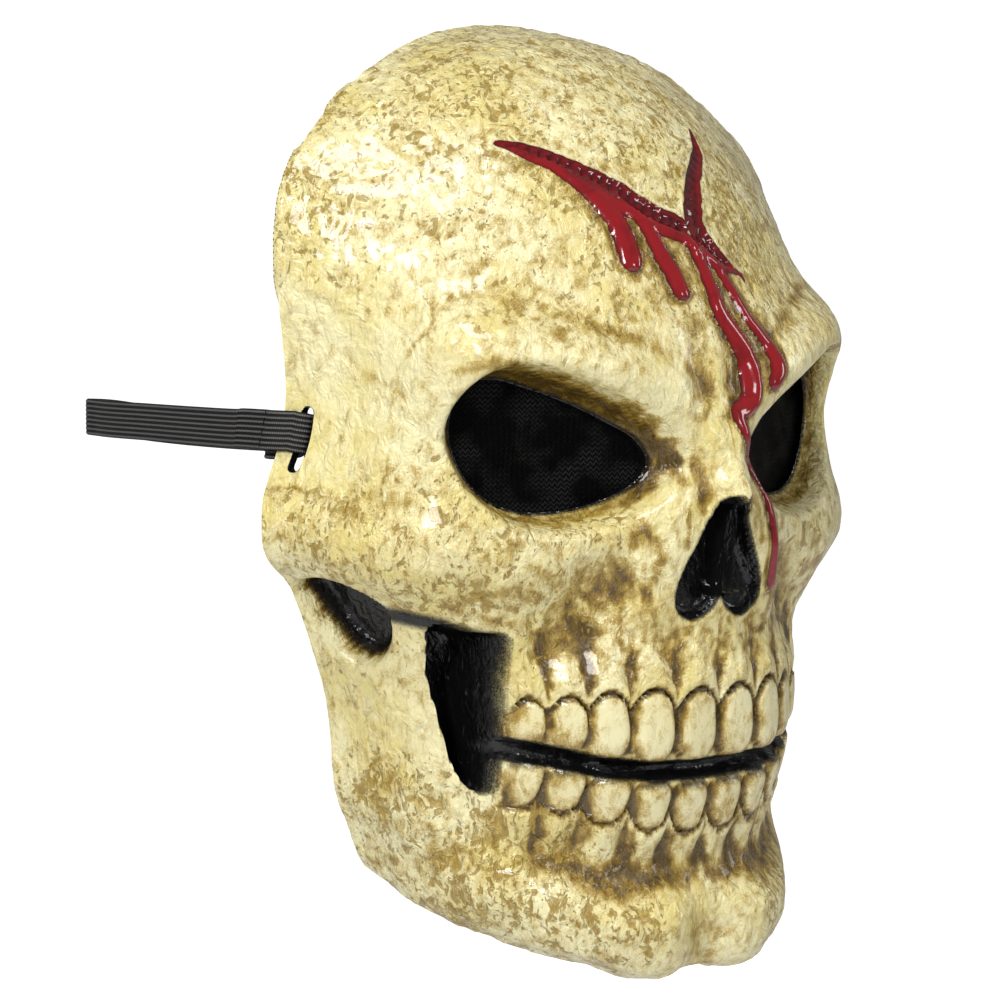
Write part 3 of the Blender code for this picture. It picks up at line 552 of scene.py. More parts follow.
def along_path(rows, places):
    """Distance from a path, the side it lies on, the length run so far and the path's other columns."""
    rows = np.asarray(rows, float)
    best = np.full(len(places), np.inf)
    hand = np.zeros(len(places))
    run_on = np.zeros(len(places))
    extra = np.zeros((len(places), rows.shape[1] - 2))
    passed = 0.0
    for a, b in zip(rows[:-1], rows[1:]):
        run = b[:2] - a[:2]
        length = max(np.linalg.norm(run), 1e-9)
        t = np.clip(((places - a[:2]) @ run) / length**2, 0.0, 1.0)
        away = places - a[:2] - t[:, None] * run
        distance = np.linalg.norm(away, axis=1)
        nearer = distance < best
        best[nearer] = distance[nearer]
        hand[nearer] = np.sign(run[0] * away[nearer, 1] - run[1] * away[nearer, 0])
        run_on[nearer] = passed + t[nearer] * length
        extra[nearer] = (a[2:] + t[:, None] * (b[2:] - a[2:]))[nearer]
        passed += length
    return best, hand, run_on, extra


def distance_to_outline(outline, places):
    """Distance of each place to a closed outline, negative inside it."""
    loop = np.concatenate([outline, outline[:1]])
    distance = along_path(loop, places)[0]
    inside = np.zeros(len(places), bool)
    for a, b in zip(loop[:-1], loop[1:]):
        spans = (a[1] > places[:, 1]) != (b[1] > places[:, 1])
        rise = b[1] - a[1] if b[1] != a[1] else 1.0
        inside ^= spans & (places[:, 0] < a[0] + (places[:, 1] - a[1]) / rise * (b[0] - a[0]))
    return np.where(inside, -distance, distance)


def front_outline(shares, each=5):
    return closed_curve(np.array(shares) * (HALF_WIDTH, HEIGHT), each)


def side_outline(shares):
    return closed_curve(np.array(shares) * (DEPTH, HEIGHT))


def eye_plane(x):
    return EYE_PLANE_FORWARD - EYE_PLANE_SLOPE * np.abs(x)


# %% [markdown]
# The base form
#
# The shell starts as a plain grid, which a bmesh operator makes, and every vertex is then moved to its
# place, as a sculptor's base is. The sections give the smooth skull. Its rows are packed closer in the
# middle of the face, where the eyes, the nose and the teeth need them. The relief stands straight
# forward on the face and square to the surface at the sides.

# %% Grid of the base form
GRID_ACROSS = 261
GRID_UP = 291
ROW_PACKING = 0.25


def base_grid(across, up):
    rows = []
    for mid_f, mid_z, *sides, rim_x, rim_f, rim_z, bow in SECTIONS:
        points = np.array([(0.0, mid_f), *zip(sides[::2], sides[1::2]), (rim_x, rim_f)])
        place = np.array(SECTION_PLACES)
        height = mid_z + (rim_z - mid_z) * place**bow
        points = np.column_stack([points[:, 0] * HALF_WIDTH, points[:, 1] * DEPTH, height * HEIGHT])
        rows.append(np.concatenate([points[:0:-1] * (-1.0, 1.0, 1.0), points]))
    rows = np.array(rows)
    places = np.concatenate([-np.array(SECTION_PLACES)[:0:-1], SECTION_PLACES])
    sections = np.array([smooth_curve(places, row, np.linspace(-1.0, 1.0, across)) for row in rows])
    lengths = np.linalg.norm(np.diff(rows, axis=0), axis=2).mean(axis=1)
    knots = np.concatenate([[0.0], np.cumsum(lengths)])
    u = np.linspace(0.0, 1.0, up)
    u = u + ROW_PACKING * np.sin(2 * pi * u) / (2 * pi)
    return smooth_curve(knots, sections, u * knots[-1])


def outward_of(points):
    across = np.gradient(points, axis=1)
    up = np.gradient(points, axis=0)
    normal = np.cross(up, across)
    normal /= np.linalg.norm(normal, axis=2, keepdims=True)
    weight = ease((normal[..., 1:2] - SIDE_LEAN) / (FACE_LEAN - SIDE_LEAN))
    outward = normal * (1 - weight) + np.array([0.0, 1.0, 0.0]) * weight
    return outward / np.linalg.norm(outward, axis=2, keepdims=True)


base = base_grid(GRID_ACROSS, GRID_UP)
outward = outward_of(base)
flat_base = base.reshape(-1, 3)
side_x = np.abs(flat_base[:, 0])
forward = flat_base[:, 1]
height = flat_base[:, 2]
front = np.column_stack([side_x, height])
one_side = flat_base[:, [0, 2]]
side = np.column_stack([forward, height])
print("base form:", base.shape[0], "x", base.shape[1], "places")

# %% [markdown]
# Noise for a cast surface
#
# The real mould was taken from a hand-made clay model, so its surface is never quite even. A smooth
# three-dimensional noise, read at each place, roughens edges and lays low lumps over the bone.

# %% Noise at each place


def cast_noise(size, seed, points=flat_base):
    """Smooth noise from about -1 to 1, whose lumps are about size metres wide."""
    scale = 1.0 / size
    shift = Vector((seed * 7.31, seed * 3.77, seed * 5.13))
    return np.array([noise.noise(Vector(p) * scale + shift) for p in points.tolist()]) * 1.8


lumps_wide = cast_noise(9 * MM, 1)
lumps_small = cast_noise(3.4 * MM, 2)
lumps_fine = cast_noise(2.2 * MM, 3)
print("noise from", round(float(lumps_wide.min()), 2), "to", round(float(lumps_wide.max()), 2))

# %% [markdown]
# Brows, cheeks and jaw
#
# The larger forms are soft bumps and hollows along short paths, summed on both sides of the face.

# %% Large forms
relief = np.zeros(len(flat_base))
for forms, unit, view in ((FRONT_FORMS, HALF_WIDTH, front), (SIDE_FORMS, DEPTH, side)):
    for path in forms:
        distance, _, _, shape = along_path(np.array(path) * (unit, HEIGHT, HALF_WIDTH, DEPTH), view)
        relief += shape[:, 1] * np.clip(1 - (distance / shape[:, 0]) ** 2, 0, None) ** 2
print("large forms:", len(FRONT_FORMS) + len(SIDE_FORMS), "on each side")

# %% [markdown]
# Teeth
#
# Each crown is a pillow with a rounded edge, narrower towards its root. A fine groove runs round it,
# and a low ridge for the root goes on past it into the jaw. The gum ends in a thin lip that comes down
# between two crowns. How far a place lies in a crown, in the gum and from a tip is kept, in
# millimetres, since the paint follows it.

# %% Teeth and roots
UNREACHED = -9.0  # mm, for a place that no crown, gum or cut reaches
CROWN_ROUNDING = 2.5 * MM
CROWN_BOW = 0.14
CROWN_MIDDLE = 0.58
UPPER_TAPER = 0.20
LOWER_TAPER = 0.26
CROWN_GROOVE = 0.4 * MM
GUM_LIP = 0.4 * MM


def teeth_relief(teeth, roots_up):
    """Relief of a row of teeth and its gum, and how far a place is in a crown, in the gum, from a tip."""
    way, taper = (1.0, UPPER_TAPER) if roots_up else (-1.0, LOWER_TAPER)
    crown = np.zeros(len(side_x))
    crown_edge = np.full(len(side_x), UNREACHED)
    gum_line = np.full(len(side_x), UNREACHED)
    ridge = np.zeros(len(side_x))
    from_tip = np.full(len(side_x), -UNREACHED)
    for x, half_width, low, high in teeth:
        half = half_width * HALF_WIDTH
        tip, neck = (low, high) if roots_up else (high, low)
        tall = abs((neck - tip) * HEIGHT)
        across = (side_x - x * HALF_WIDTH) / half
        gum_line = np.maximum(gum_line, way * neck * HEIGHT - GUM_SAG * np.minimum(across**2, 1.6))
        up = way * (height - tip * HEIGHT) / tall
        wide = np.abs(across / (0.97 - taper * ease(up - 0.1)))
        reach = (wide**2.8 + np.abs((up - CROWN_MIDDLE) / CROWN_MIDDLE) ** 3.2) ** (1 / 3)
        inside = (1 - reach) * half
        rounded = quarter_round(inside / CROWN_ROUNDING)
        crown = np.maximum(crown, rounded * (1 - CROWN_BOW * np.clip(across, -1, 1) ** 2))
        crown_edge = np.maximum(crown_edge, inside / MM)
        ridge = np.maximum(ridge, np.clip(1 - np.abs(across) ** 1.8, 0, None))
        from_tip = np.where(inside > 0, np.minimum(from_tip, up * tall / MM), from_tip)
    in_gum = (way * height - gum_line) / MM
    end = (teeth[-1][0] + teeth[-1][1]) * HALF_WIDTH
    row = ease((end - side_x) / (3 * MM) + 0.6)
    gum = GUM_RELIEF * quarter_round(in_gum / 1.5) * ease(1 - (in_gum - 2) / 8)
    gum += GUM_LIP * bell(in_gum, 1.2, 0.9)
    gum += ROOT_RELIEF * ridge * ease(in_gum / 3) * ease(1.5 - in_gum / 11)
    groove = CROWN_GROOVE * bell(crown_edge, -0.3, 0.85)
    tooth_form = TOOTH_RELIEF * crown * ease(0.4 - in_gum / 1.4) - groove
    raised = tooth_form + (gum - tooth_form) * ease(in_gum / 1.7 + 0.5)
    crown_edge = np.minimum(crown_edge, -in_gum)
    in_gum = np.where(row > 0.5, in_gum, UNREACHED)
    return raised * row, crown_edge, in_gum, from_tip


upper_relief, upper_edge, upper_gum, _ = teeth_relief(UPPER_TEETH, True)
lower_relief, lower_edge, lower_gum, lower_tip = teeth_relief(LOWER_TEETH, False)
relief += upper_relief + lower_relief
crown_edge = np.maximum(upper_edge, lower_edge)
print("crowns cover", int((crown_edge > 0).sum()), "places")

# %% [markdown]
# Eye holes, nose and mouth
#
# Round an eye the shell rolls in to the plane of its net. The nose is a cavity with a flat floor and a
# ridge down its middle. The mouth opens between the teeth, and behind the last tooth it widens to a
# deep recess that is painted black, and so is a smaller one in front of the ear.

# %% Recesses


def towards(field, wanted, weight):
    return field + (wanted - field) * weight


eye_far = distance_to_outline(front_outline(EYE_OUTLINE), front)
relief = towards(relief, eye_plane(side_x) - forward, ease(1 - eye_far / EYE_LIP) ** EYE_LIP_CURL)
nose_far = distance_to_outline(front_outline(NOSE_OUTLINE), front)
relief = towards(relief, NOSE_FLOOR_FORWARD - forward, ease(0.5 - nose_far / RECESS_EDGE))
septum_far, _, _, shape = along_path(np.array(SEPTUM) * (HALF_WIDTH, HEIGHT, HALF_WIDTH, DEPTH), front)
septum = np.clip(1 - (septum_far / shape[:, 0]) ** 2, 0, None)
ridge = relief * (1 - septum) + shape[:, 1] * septum
relief = np.where(nose_far < 0, np.maximum(relief, ridge), relief)
mouth_side_far = distance_to_outline(front_outline(MOUTH_SIDE_OUTLINE), front)
relief -= MOUTH_SIDE_DEPTH * ease(0.5 - mouth_side_far / RECESS_EDGE)
gap_rows = np.array(MOUTH_GAP) * (HALF_WIDTH, HEIGHT, HEIGHT)
gap_low = np.interp(side_x, gap_rows[:, 0], gap_rows[:, 1])
gap_high = np.interp(side_x, gap_rows[:, 0], gap_rows[:, 2])
in_gap = np.minimum(height - gap_low, gap_high - height)
in_gap = np.where((mouth_side_far > 0) & (side_x < gap_rows[-1, 0]), in_gap, -1.0)
relief = towards(relief, -MOUTH_GAP_DEPTH, ease(0.5 + in_gap / RECESS_EDGE))
ear_far = distance_to_outline(side_outline(EAR_GAP_OUTLINE), side)
relief -= EAR_GAP_DEPTH * ease(0.5 - ear_far / (2 * RECESS_EDGE))
print("relief from", round(float(relief.min()) / MM, 1), "to", round(float(relief.max()) / MM, 1), "mm")

# %% [markdown]
# The wound and its drips
#
# A ragged cut crosses the forehead, with a gash that opens upwards. Its floor is sunk and its lower lip
# is raised. The drips that run from it are rounded beads, thin where they start and full at the end.
# How far a place lies inside each is kept, in millimetres, for the red paint.

# %% Wound
CUT_DEPTH = 1.5 * MM
CUT_EDGE = 0.45 * MM
RIB_SPACING = 2.4  # mm along the cut
LIP_HEIGHT = 0.8 * MM

ragged = 0.35 * lumps_fine + 0.25 * lumps_small


def scaled(rows):
    return np.array(rows) * ((HALF_WIDTH, HEIGHT, 1.0)[: len(rows[0])])


cut_inside = np.full(len(relief), UNREACHED)
rib_height = np.zeros(len(relief))
for rows in (LONG_CUT, LOW_CUT, GASH):
    distance, hand, run_on, width = along_path(scaled(rows), one_side)
    inside = width[:, 0] * (1 + 0.35 * ragged) - distance / MM
    cut_inside = np.maximum(cut_inside, inside)
    ribs = 0.5 + 0.5 * np.sin(run_on / MM * 2 * pi / RIB_SPACING + 1.5 * lumps_small)
    rib_height = np.where(inside > 0, np.maximum(rib_height, ribs), rib_height)
depth = CUT_DEPTH * ease(cut_inside / 1.3 + 0.3)
relief -= depth * (1 - 0.45 * rib_height)
relief += CUT_EDGE * bell(cut_inside, -0.9, 0.7)

blood_inside = cut_inside + 0.45
lip_far, _, _, width = along_path(scaled(CUT_LIP), one_side)
lip = width[:, 0] * (1 + 0.15 * ragged) - lip_far / MM
relief += LIP_HEIGHT * np.sqrt(np.clip(lip, 0, 1)) * (cut_inside < 0.3)
blood_inside = np.maximum(blood_inside, lip + 0.35)
for rows in DRIPS:
    distance, _, _, width = along_path(smooth_path(scaled(rows)), one_side)
    half = width[:, 0] * MM
    bead = np.sqrt(np.clip(1 - (distance / half) ** 2, 0, None))
    relief += DRIP_RELIEF * bead * np.clip(half / (DRIP_WIDTH / 2), 0.5, 1)
    blood_inside = np.maximum(blood_inside, (half - distance) / MM)
hair_far, _, _, width = along_path(scaled(HAIRLINE), one_side)
blood_inside = np.maximum(blood_inside, width[:, 0] + 0.4 * lumps_fine - hair_far / MM)
print("painted red:", int((blood_inside > 0).sum()), "places")

# %% [markdown]
# Cast texture
#
# The bone is lumpy on the forehead, the jaw and the upper jaw, smoother on the cheekbone and at the
# temple, and nearly plain on the teeth. A region is a soft mask made of the places where it starts
# and ends. Each has its own amount, and the lumps fade out at holes and paint.

# %% Regions of the face
plain_temple = falling(forward, 0.036, 0.006) * rising(height, -0.012, 0.008) * falling(height, 0.06, 0.02)
on_forehead = rising(height, 0.02, 0.02)
on_jaw = falling(height, -0.075, 0.02)
on_face = close_to(np.abs(height + 0.03), 0.06)
on_maxilla = falling(height, -0.028, 0.02) * rising(height, -0.066, 0.006) * falling(side_x, 0.062, 0.01)
lower_roots = falling(height, -0.094, 0.006) * rising(height, -0.122, 0.012) * falling(side_x, 0.052, 0.01)
over_brow = rising(height, 0.012, 0.012) * falling(height, 0.062, 0.03) * falling(side_x, 0.075, 0.02)
below_eye = close_to(eye_far, 5 * MM) * falling(height, 0.002, 0.006) * rising(side_x, 0.018, 0.008)
behind_brow = side_x > 0.06
print("forehead:", round(float(on_forehead.mean()), 2), "of the places")

# %% Lumps
WIDE_LUMPS = 0.40
SMALL_LUMPS = 0.34
FINE_LUMPS = 0.16
TEMPLE_STEP = 0.35 * MM

temple_far, temple_hand, _, _ = along_path(np.array(TEMPLE_EDGE) * (DEPTH, HEIGHT), side)
quiet = np.maximum.reduce(
    [
        rising(crown_edge, -0.6, 1.2),
        close_to(nose_far, 0.002),
        close_to(eye_far, 0.004),
        ease(blood_inside + 1),
        close_to(mouth_side_far, 0.002),
        ease(in_gap / MM + 1),
    ]
)
rough = 0.30 + 0.35 * on_forehead + 0.30 * on_jaw + 0.55 * on_maxilla - 0.25 * plain_temple
rough *= 1 - 0.85 * quiet
smooth_relief = relief.copy()
relief += rough * MM * (WIDE_LUMPS * lumps_wide + SMALL_LUMPS * lumps_small + FINE_LUMPS * lumps_fine)
relief += TEMPLE_STEP * close_to(temple_far, 0.003) * temple_hand * behind_brow * on_forehead
outer = base + outward * relief.reshape(base.shape[:2])[..., None]
print("roughness from", round(float(rough.min()), 2), "to", round(float(rough.max()), 2))

# %% [markdown]
# The shell
#
# The shell is two grids: a fine one for the face and one with half as many rows and columns for the
# inside, which is plain. The inner one is set back so that the wall is nowhere thinner than the
# plastic: a ball as thick as the wall, rolled under the face, marks it out. The inner rim's edges are
# halved, so that both rims have as many vertices, and the two are bridged.

# %% Inner wall


def shifted(grid, up, across):
    rows = np.clip(np.arange(grid.shape[0]) + up, 0, grid.shape[0] - 1)
    columns = np.clip(np.arange(grid.shape[1]) + across, 0, grid.shape[1] - 1)
    return grid[rows][:, columns]


def inner_wall(window):
    depth = ((outer - base) * outward).sum(axis=2) - WALL
    for up in range(-window, window + 1):
        for across in range(-window, window + 1):
            away = shifted(outer, up, across) - base
            along = (away * outward).sum(axis=2)
            beside = (away**2).sum(axis=2) - along**2
            limit = along - np.sqrt(np.clip(WALL**2 - beside, 0, None))
            depth = np.where(beside < WALL**2, np.minimum(depth, limit), depth)
    return base + outward * depth[..., None]


inner = inner_wall(3)
print("wall:", round(WALL / MM, 1), "mm or more")

# %% Shell mesh
# The tables count forward as positive, and the face looks along -Y.
TO_WORLD = np.array([1.0, -1.0, 1.0])


def place_grid(bm, grid):
    made = bmesh.ops.create_grid(bm, x_segments=grid.shape[1] - 1, y_segments=grid.shape[0] - 1, size=1.0)
    for vert, place in zip(made["verts"], (grid.reshape(-1, 3) * TO_WORLD).tolist()):
        vert.co = place


bm = bmesh.new()
place_grid(bm, outer)
face_rim = [edge for edge in bm.edges if edge.is_boundary]
place_grid(bm, inner[::2, ::2])
known = set(face_rim)
inside_rim = [edge for edge in bm.edges if edge.is_boundary and edge not in known]
bmesh.ops.subdivide_edges(bm, edges=inside_rim, cuts=1)
inside_rim = [edge for edge in bm.edges if edge.is_boundary and edge not in known]
bmesh.ops.bridge_loops(bm, edges=face_rim + inside_rim)
bmesh.ops.recalc_face_normals(bm, faces=bm.faces[:])
shell_mesh = finished_mesh("skull_shell", bm)
print("shell:", len(shell_mesh.polygons), "faces")

# %% [markdown]
# Paint on the shell
#
# The paint follows the form, so what each coat depends on is stored on the vertices: how hollow a
# place is, how far it lies inside the black, how far inside the red, how pitted the bone is and
# whether it is the plain inner side. The materials turn these smooth numbers into crisp edges.

# %% Wash in the hollows


def blurred(field, times):
    field = field.reshape(base.shape[:2])
    for _ in range(times):
        field = (shifted(field, 1, 0) + 2 * field + shifted(field, -1, 0)) / 4
        field = (shifted(field, 0, 1) + 2 * field + shifted(field, 0, -1)) / 4
    return field.ravel()


def hollow(field, times, full_depth):
    """How far a place lies below its blurred surroundings, as a share of the full depth."""
    return np.clip((blurred(field, times) - field) / full_depth, 0, 1)


hollow_fine = hollow(smooth_relief, 3, 0.22 * MM)
hollow_wide = hollow(smooth_relief, 24, 1.1 * MM)
hollow_lumps = hollow(relief, 4, 0.14 * MM)
wash = 0.65 * hollow_fine + (0.4 - 0.34 * on_maxilla) * hollow_wide
wash = wash + 0.45 * hollow_lumps * (0.6 + 0.6 * on_maxilla)
for path in WASH:
    rows = np.array(path) * (HALF_WIDTH, HEIGHT, MM, 1.0)
    distance, _, _, stroke = along_path(rows, front)
    wash += stroke[:, 1] * ease(1.25 - distance / stroke[:, 0] + 0.35 * lumps_small)
wash += 0.3 * close_to(temple_far, 1.1 * MM) * behind_brow
wash *= 1 - 0.5 * ease(blood_inside + 0.5)
wash *= 1 - 0.75 * below_eye
wash += 0.12 * on_maxilla + 0.10 * lower_roots + 0.16 * over_brow + 0.14 * on_jaw + 0.20 * on_face
wash += 0.12 * on_forehead - 0.14 * plain_temple
wash += 0.55 * bell(crown_edge, 0.2, 1.1) + 0.12 * ease(crown_edge + 0.5)
print("wash up to", round(float(wash.max()), 2))

# %% Black, its grey overspray and painted shade
BACK_TOOTH = 0.59 * HALF_WIDTH

teeth_side = falling(side_x, BACK_TOOTH, 2 * MM)
black_mouth = 0.5 + 0.4 * teeth_side - mouth_side_far / MM
black_nose = 1.0 - nose_far / MM
black_gap = in_gap / MM + 0.9
black_ear = -ear_far / MM - 0.3
black_eye = 0.5 - eye_far / MM
# A painted shadow under the cheekbone: black within a millimetre of its line, from the recess before the
# ear to the one beside the mouth.
shadow_far = along_path(np.array(CHEEK_SHADOW) * (HALF_WIDTH, HEIGHT), front)[0]
painted_cheek_shadow = 1.0 - shadow_far / MM
black = np.maximum.reduce([black_mouth, black_nose, black_gap, black_ear, black_eye, painted_cheek_shadow])
# The grey is partly black overspray, round the black places and on the tips of the lower crowns, and
# partly painted shade: a grey line just under the gum's edge of each row of crowns, and a grey painted
# shadow beside the line under the cheekbone.
overspray_and_shade = 0.6 * bell(upper_gum, -0.1, 1.2) + 0.3 * bell(lower_gum, 0.1, 1.1)
overspray_and_shade = np.maximum(overspray_and_shade, close_to(lower_tip, 4.4) * (lower_edge > -0.5))
overspray_and_shade = np.maximum(overspray_and_shade, 0.7 * ease(0.65 + black / 2.0))
# The painted shadow under the cheekbone fades out in grey beside its line.
overspray_and_shade = np.maximum(overspray_and_shade, ease(1.4 - shadow_far / (2.4 * MM)))
print("painted black:", int((black > 0).sum()), "places")

# %% Pits
stain_far = along_path(np.array(STAINED_FOREHEAD) * (HALF_WIDTH, HEIGHT), one_side)[0]
pits = 0.52 * on_forehead + 0.90 * on_jaw * rising(side_x, 0.012, 0.012)
pits = pits + 0.50 * on_face * rising(side_x, 0.02, 0.012)
pits += 0.30 * close_to(stain_far, 0.016) - 0.30 * plain_temple - 0.35 * lower_roots
pits += 0.25 * on_forehead * rising(one_side[:, 0], -0.005, 0.02)
pits *= (1 - ease(crown_edge + 1)) * (1 - ease(blood_inside + 1.0))
print("pitted:", int((pits > 0.02).sum()), "places")

# %% All the paint values
FAR_OUTSIDE = -8.0  # mm, where a coat of paint is nowhere near
PAINT = {
    "wash": np.clip(wash, 0, 1.5),
    "black": np.clip(black, FAR_OUTSIDE, -FAR_OUTSIDE),
    "overspray_and_shade": np.clip(overspray_and_shade, 0, 1),
    "blood": np.clip(blood_inside, FAR_OUTSIDE, -FAR_OUTSIDE),
    "wound": ease(cut_inside / 0.7 + 0.3) * (0.55 + 0.45 * (1 - rib_height)),
    "pits": np.clip(pits, 0, 1),
    "tooth": ease(crown_edge / 0.8 + 0.3),
    "slant": over_brow * rising(side_x, 0.006, 0.02),
}
print("paint values:", ", ".join(PAINT))

# %% [markdown]
# Cutting the holes
#
# The eye and strap holes go right through, and the nostrils are blind dimples, since nothing of the
# white ground shows through them in the photograph. Closed prisms of their outlines are taken away
# with a Boolean, as in the solid, but from finer outlines. The Boolean makes a new mesh, so each of
# its vertices takes the paint values of the nearest known place, and the walls that it cut are black.

# %% Cutters


def prism(bm, outline, near, far):
    loop = [bm.verts.new(near(a, b)) for a, b in outline]
    face = bm.faces.new(loop)
    made = bmesh.ops.extrude_face_region(bm, geom=[face])
    moved = [item for item in made["geom"] if isinstance(item, bmesh.types.BMVert)]
    shift = Vector(far(*outline[0])) - Vector(near(*outline[0]))
    bmesh.ops.translate(bm, verts=moved, vec=shift)


bm = bmesh.new()
reach = 0.5 * DEPTH
for hand in (-1.0, 1.0):
    eye = front_outline(EYE_OUTLINE)
    turn_steps = [2 * pi * i / 32 for i in range(32)]
    nostril = [
        (NOSTRIL_SIDE + NOSTRIL_RADIUS * cos(a), NOSTRIL_RADIUS * sin(a) - NOSTRIL_DROP)
        for a in turn_steps
    ]
    for outline, middle, depth in (
        (eye, float(eye_plane(eye[:, 0].mean())), reach),
        (nostril, NOSE_FLOOR_FORWARD, NOSTRIL_DEPTH),
    ):
        prism(
            bm,
            [(hand * x, z) for x, z in outline],
            lambda x, z: (x, -(middle + reach), z),
            lambda x, z: (x, -(middle - depth), z),
        )
    half = SLOT_WIDTH / 2
    straight = SLOT_LENGTH / 2 - half
    turn_steps = [2 * pi * (i + 0.5) / 24 for i in range(24)]
    slot = [
        (SLOT_FORWARD + half * cos(a), SLOT_HEIGHT + half * sin(a) + (straight if a < pi else -straight))
        for a in turn_steps
    ]
    prism(
        bm,
        slot,
        lambda f, z: (hand * (HALF_WIDTH - reach / 2), -f, z),
        lambda f, z: (hand * (HALF_WIDTH + reach / 2), -f, z),
    )
bmesh.ops.recalc_face_normals(bm, faces=bm.faces[:])
cutter = placed("hole_cutter", finished_mesh("hole_cutter", bm))
print("cutter:", len(cutter.data.polygons), "faces")

# %% Cut shell
whole = placed("whole_shell", shell_mesh)
cut = whole.modifiers.new("holes", "BOOLEAN")
cut.operation = "DIFFERENCE"
cut.solver = "EXACT"
cut.object = cutter
graph = bpy.context.evaluated_depsgraph_get()
graph.update()
cut_mesh = bpy.data.meshes.new_from_object(whole.evaluated_get(graph), depsgraph=graph)
cut_mesh.name = "skull_shell"
shell = placed("skull_shell", cut_mesh)
bpy.data.objects.remove(whole, do_unlink=True)
bpy.data.objects.remove(cutter, do_unlink=True)
cut_mesh.shade_smooth()
cut_mesh.set_sharp_from_angle(angle=radians(50))
cut_mesh.calc_loop_triangles()
print("cut shell:", len(cut_mesh.loop_triangles), "triangles")

# %% Carry the paint values over
CUT_WALL = {"black": 3.0, "inside": 0.0}
INSIDE_REST = {"black": FAR_OUTSIDE, "blood": FAR_OUTSIDE}

under = inner[::2, ::2]
under_inside = np.ones(under.shape[:2])
under_inside[[0, -1]] = 0.0
under_inside[:, [0, -1]] = 0.0
known_places = np.concatenate([outer.reshape(-1, 3), under.reshape(-1, 3)]) * TO_WORLD
tree_of_places = KDTree(len(known_places))
for i, known_place in enumerate(known_places.tolist()):
    tree_of_places.insert(known_place, i)
tree_of_places.balance()
found = [tree_of_places.find(vert.co) for vert in cut_mesh.vertices]
nearest = np.array([index for _, index, _ in found])
made_by_cut = np.array([distance > 1e-6 for _, _, distance in found])
values = {
    name: np.concatenate([paint, np.full(under_inside.size, INSIDE_REST.get(name, 0.0))])
    for name, paint in PAINT.items()
}
values["inside"] = np.concatenate([np.zeros(len(flat_base)), under_inside.ravel()])
for name, column in values.items():
    column = column[nearest].astype(np.float32)
    if name in CUT_WALL:
        column[made_by_cut] = CUT_WALL[name]
    attribute = cut_mesh.attributes.new(name, "FLOAT", "POINT")
    attribute.data.foreach_set("value", column)
print("painted:", len(nearest), "vertices, of which the cut made", int(made_by_cut.sum()))

# %% [markdown]
# Node helpers
#
# A material is a small graph. These helpers add a node, set its values and join its inputs in one
# line, so that each material reads as the recipe that it is.

# %% Node helpers


def node(tree, kind, inputs=None, **settings):
    """A new node; inputs are set by name or number, and a socket given as a value is linked."""
    made = tree.nodes.new("ShaderNode" + kind)
    for name, value in settings.items():
        setattr(made, name, value)
    for name, value in (inputs or {}).items():
        if isinstance(value, bpy.types.NodeSocket):
            tree.links.new(value, made.inputs[name])
        else:
            made.inputs[name].default_value = value
    return made


def value_of(tree, name):
    return node(tree, "Attribute", attribute_name=name).outputs["Fac"]


def maths(tree, kind, a, b=0.0, c=0.0):
    return node(tree, "Math", {0: a, 1: b, 2: c}, operation=kind).outputs[0]


def step_of(tree, value, low, high, out_low=0.0, out_high=1.0):
    """Rises smoothly from out_low to out_high as value goes from low to high."""
    inputs = {0: value, 1: low, 2: high, 3: out_low, 4: out_high}
    return node(tree, "MapRange", inputs, interpolation_type="SMOOTHSTEP").outputs[0]


def blended(tree, weight, a, b):
    """A number between a and b."""
    return node(tree, "Mix", {0: weight, 2: a, 3: b}, data_type="FLOAT").outputs[0]


def mixed(tree, weight, a, b):
    """A colour between a and b."""
    return node(tree, "Mix", {0: weight, 6: a, 7: b}, data_type="RGBA").outputs[2]


def stretched(tree, vector, turn, scale):
    return node(tree, "Mapping", {"Vector": vector, "Rotation": turn, "Scale": scale}).outputs[0]


def grain(tree, vector, scale, detail=3.0, distortion=0.0, roughness=0.55):
    inputs = {
        "Vector": vector,
        "Scale": scale,
        "Detail": detail,
        "Distortion": distortion,
        "Roughness": roughness,
    }
    return node(tree, "TexNoise", inputs).outputs["Fac"]


def feed(tree, values):
    """Joins each value to the socket of that name on the material's shader, or sets it there."""
    shader = tree.nodes["Principled BSDF"]
    for name, value in values.items():
        if isinstance(value, bpy.types.NodeSocket):
            tree.links.new(value, shader.inputs[name])
        else:
            shader.inputs[name].default_value = value


# %% [markdown]
# Bone plastic
#
# The bone starts as pale cream plastic with warmer patches. A brown wash was brushed on and wiped off,
# so it stays in pits, hollows and brush marks. Black is sprayed into the recesses with a soft edge, a
# painted shade in grey lies just under the gum's edge, and a painted shadow in black and grey lies under
# the cheekbone. The red is thick gloss paint. A clear gloss coat lies over all but the black, which is
# glossy by itself. All the layers are mixed into one colour, one roughness and one bump.

# %% Colours
CREAM = (0.81, 0.74, 0.42, 1)
YELLOWED = (0.70, 0.59, 0.22, 1)
WASH_LIGHT = (0.43, 0.285, 0.035, 1)
WASH_MIDDLE = (0.225, 0.13, 0.010, 1)
WASH_DARK = (0.065, 0.036, 0.003, 1)
TOOTH_CREAM = (0.75, 0.69, 0.42, 1)
BLACK_PAINT = (0.004, 0.004, 0.0045, 1)
BLOOD = (0.235, 0.006, 0.009, 1)
BLOOD_DARK = (0.045, 0.0015, 0.003, 1)
INSIDE_BLACK = (0.008, 0.0075, 0.007, 1)

# %% Bone: the grain of the surface
bone = bpy.data.materials.new("antiqued_bone")
bone.use_nodes = True
tree = bone.node_tree
place = node(tree, "TexCoord").outputs["Object"]
wash, black, blood, overspray_and_shade = (value_of(tree, name) for name in ("wash", "black", "blood", "overspray_and_shade"))
wound, pits, tooth, inside = (value_of(tree, name) for name in ("wound", "pits", "tooth", "inside"))
slant = value_of(tree, "slant")

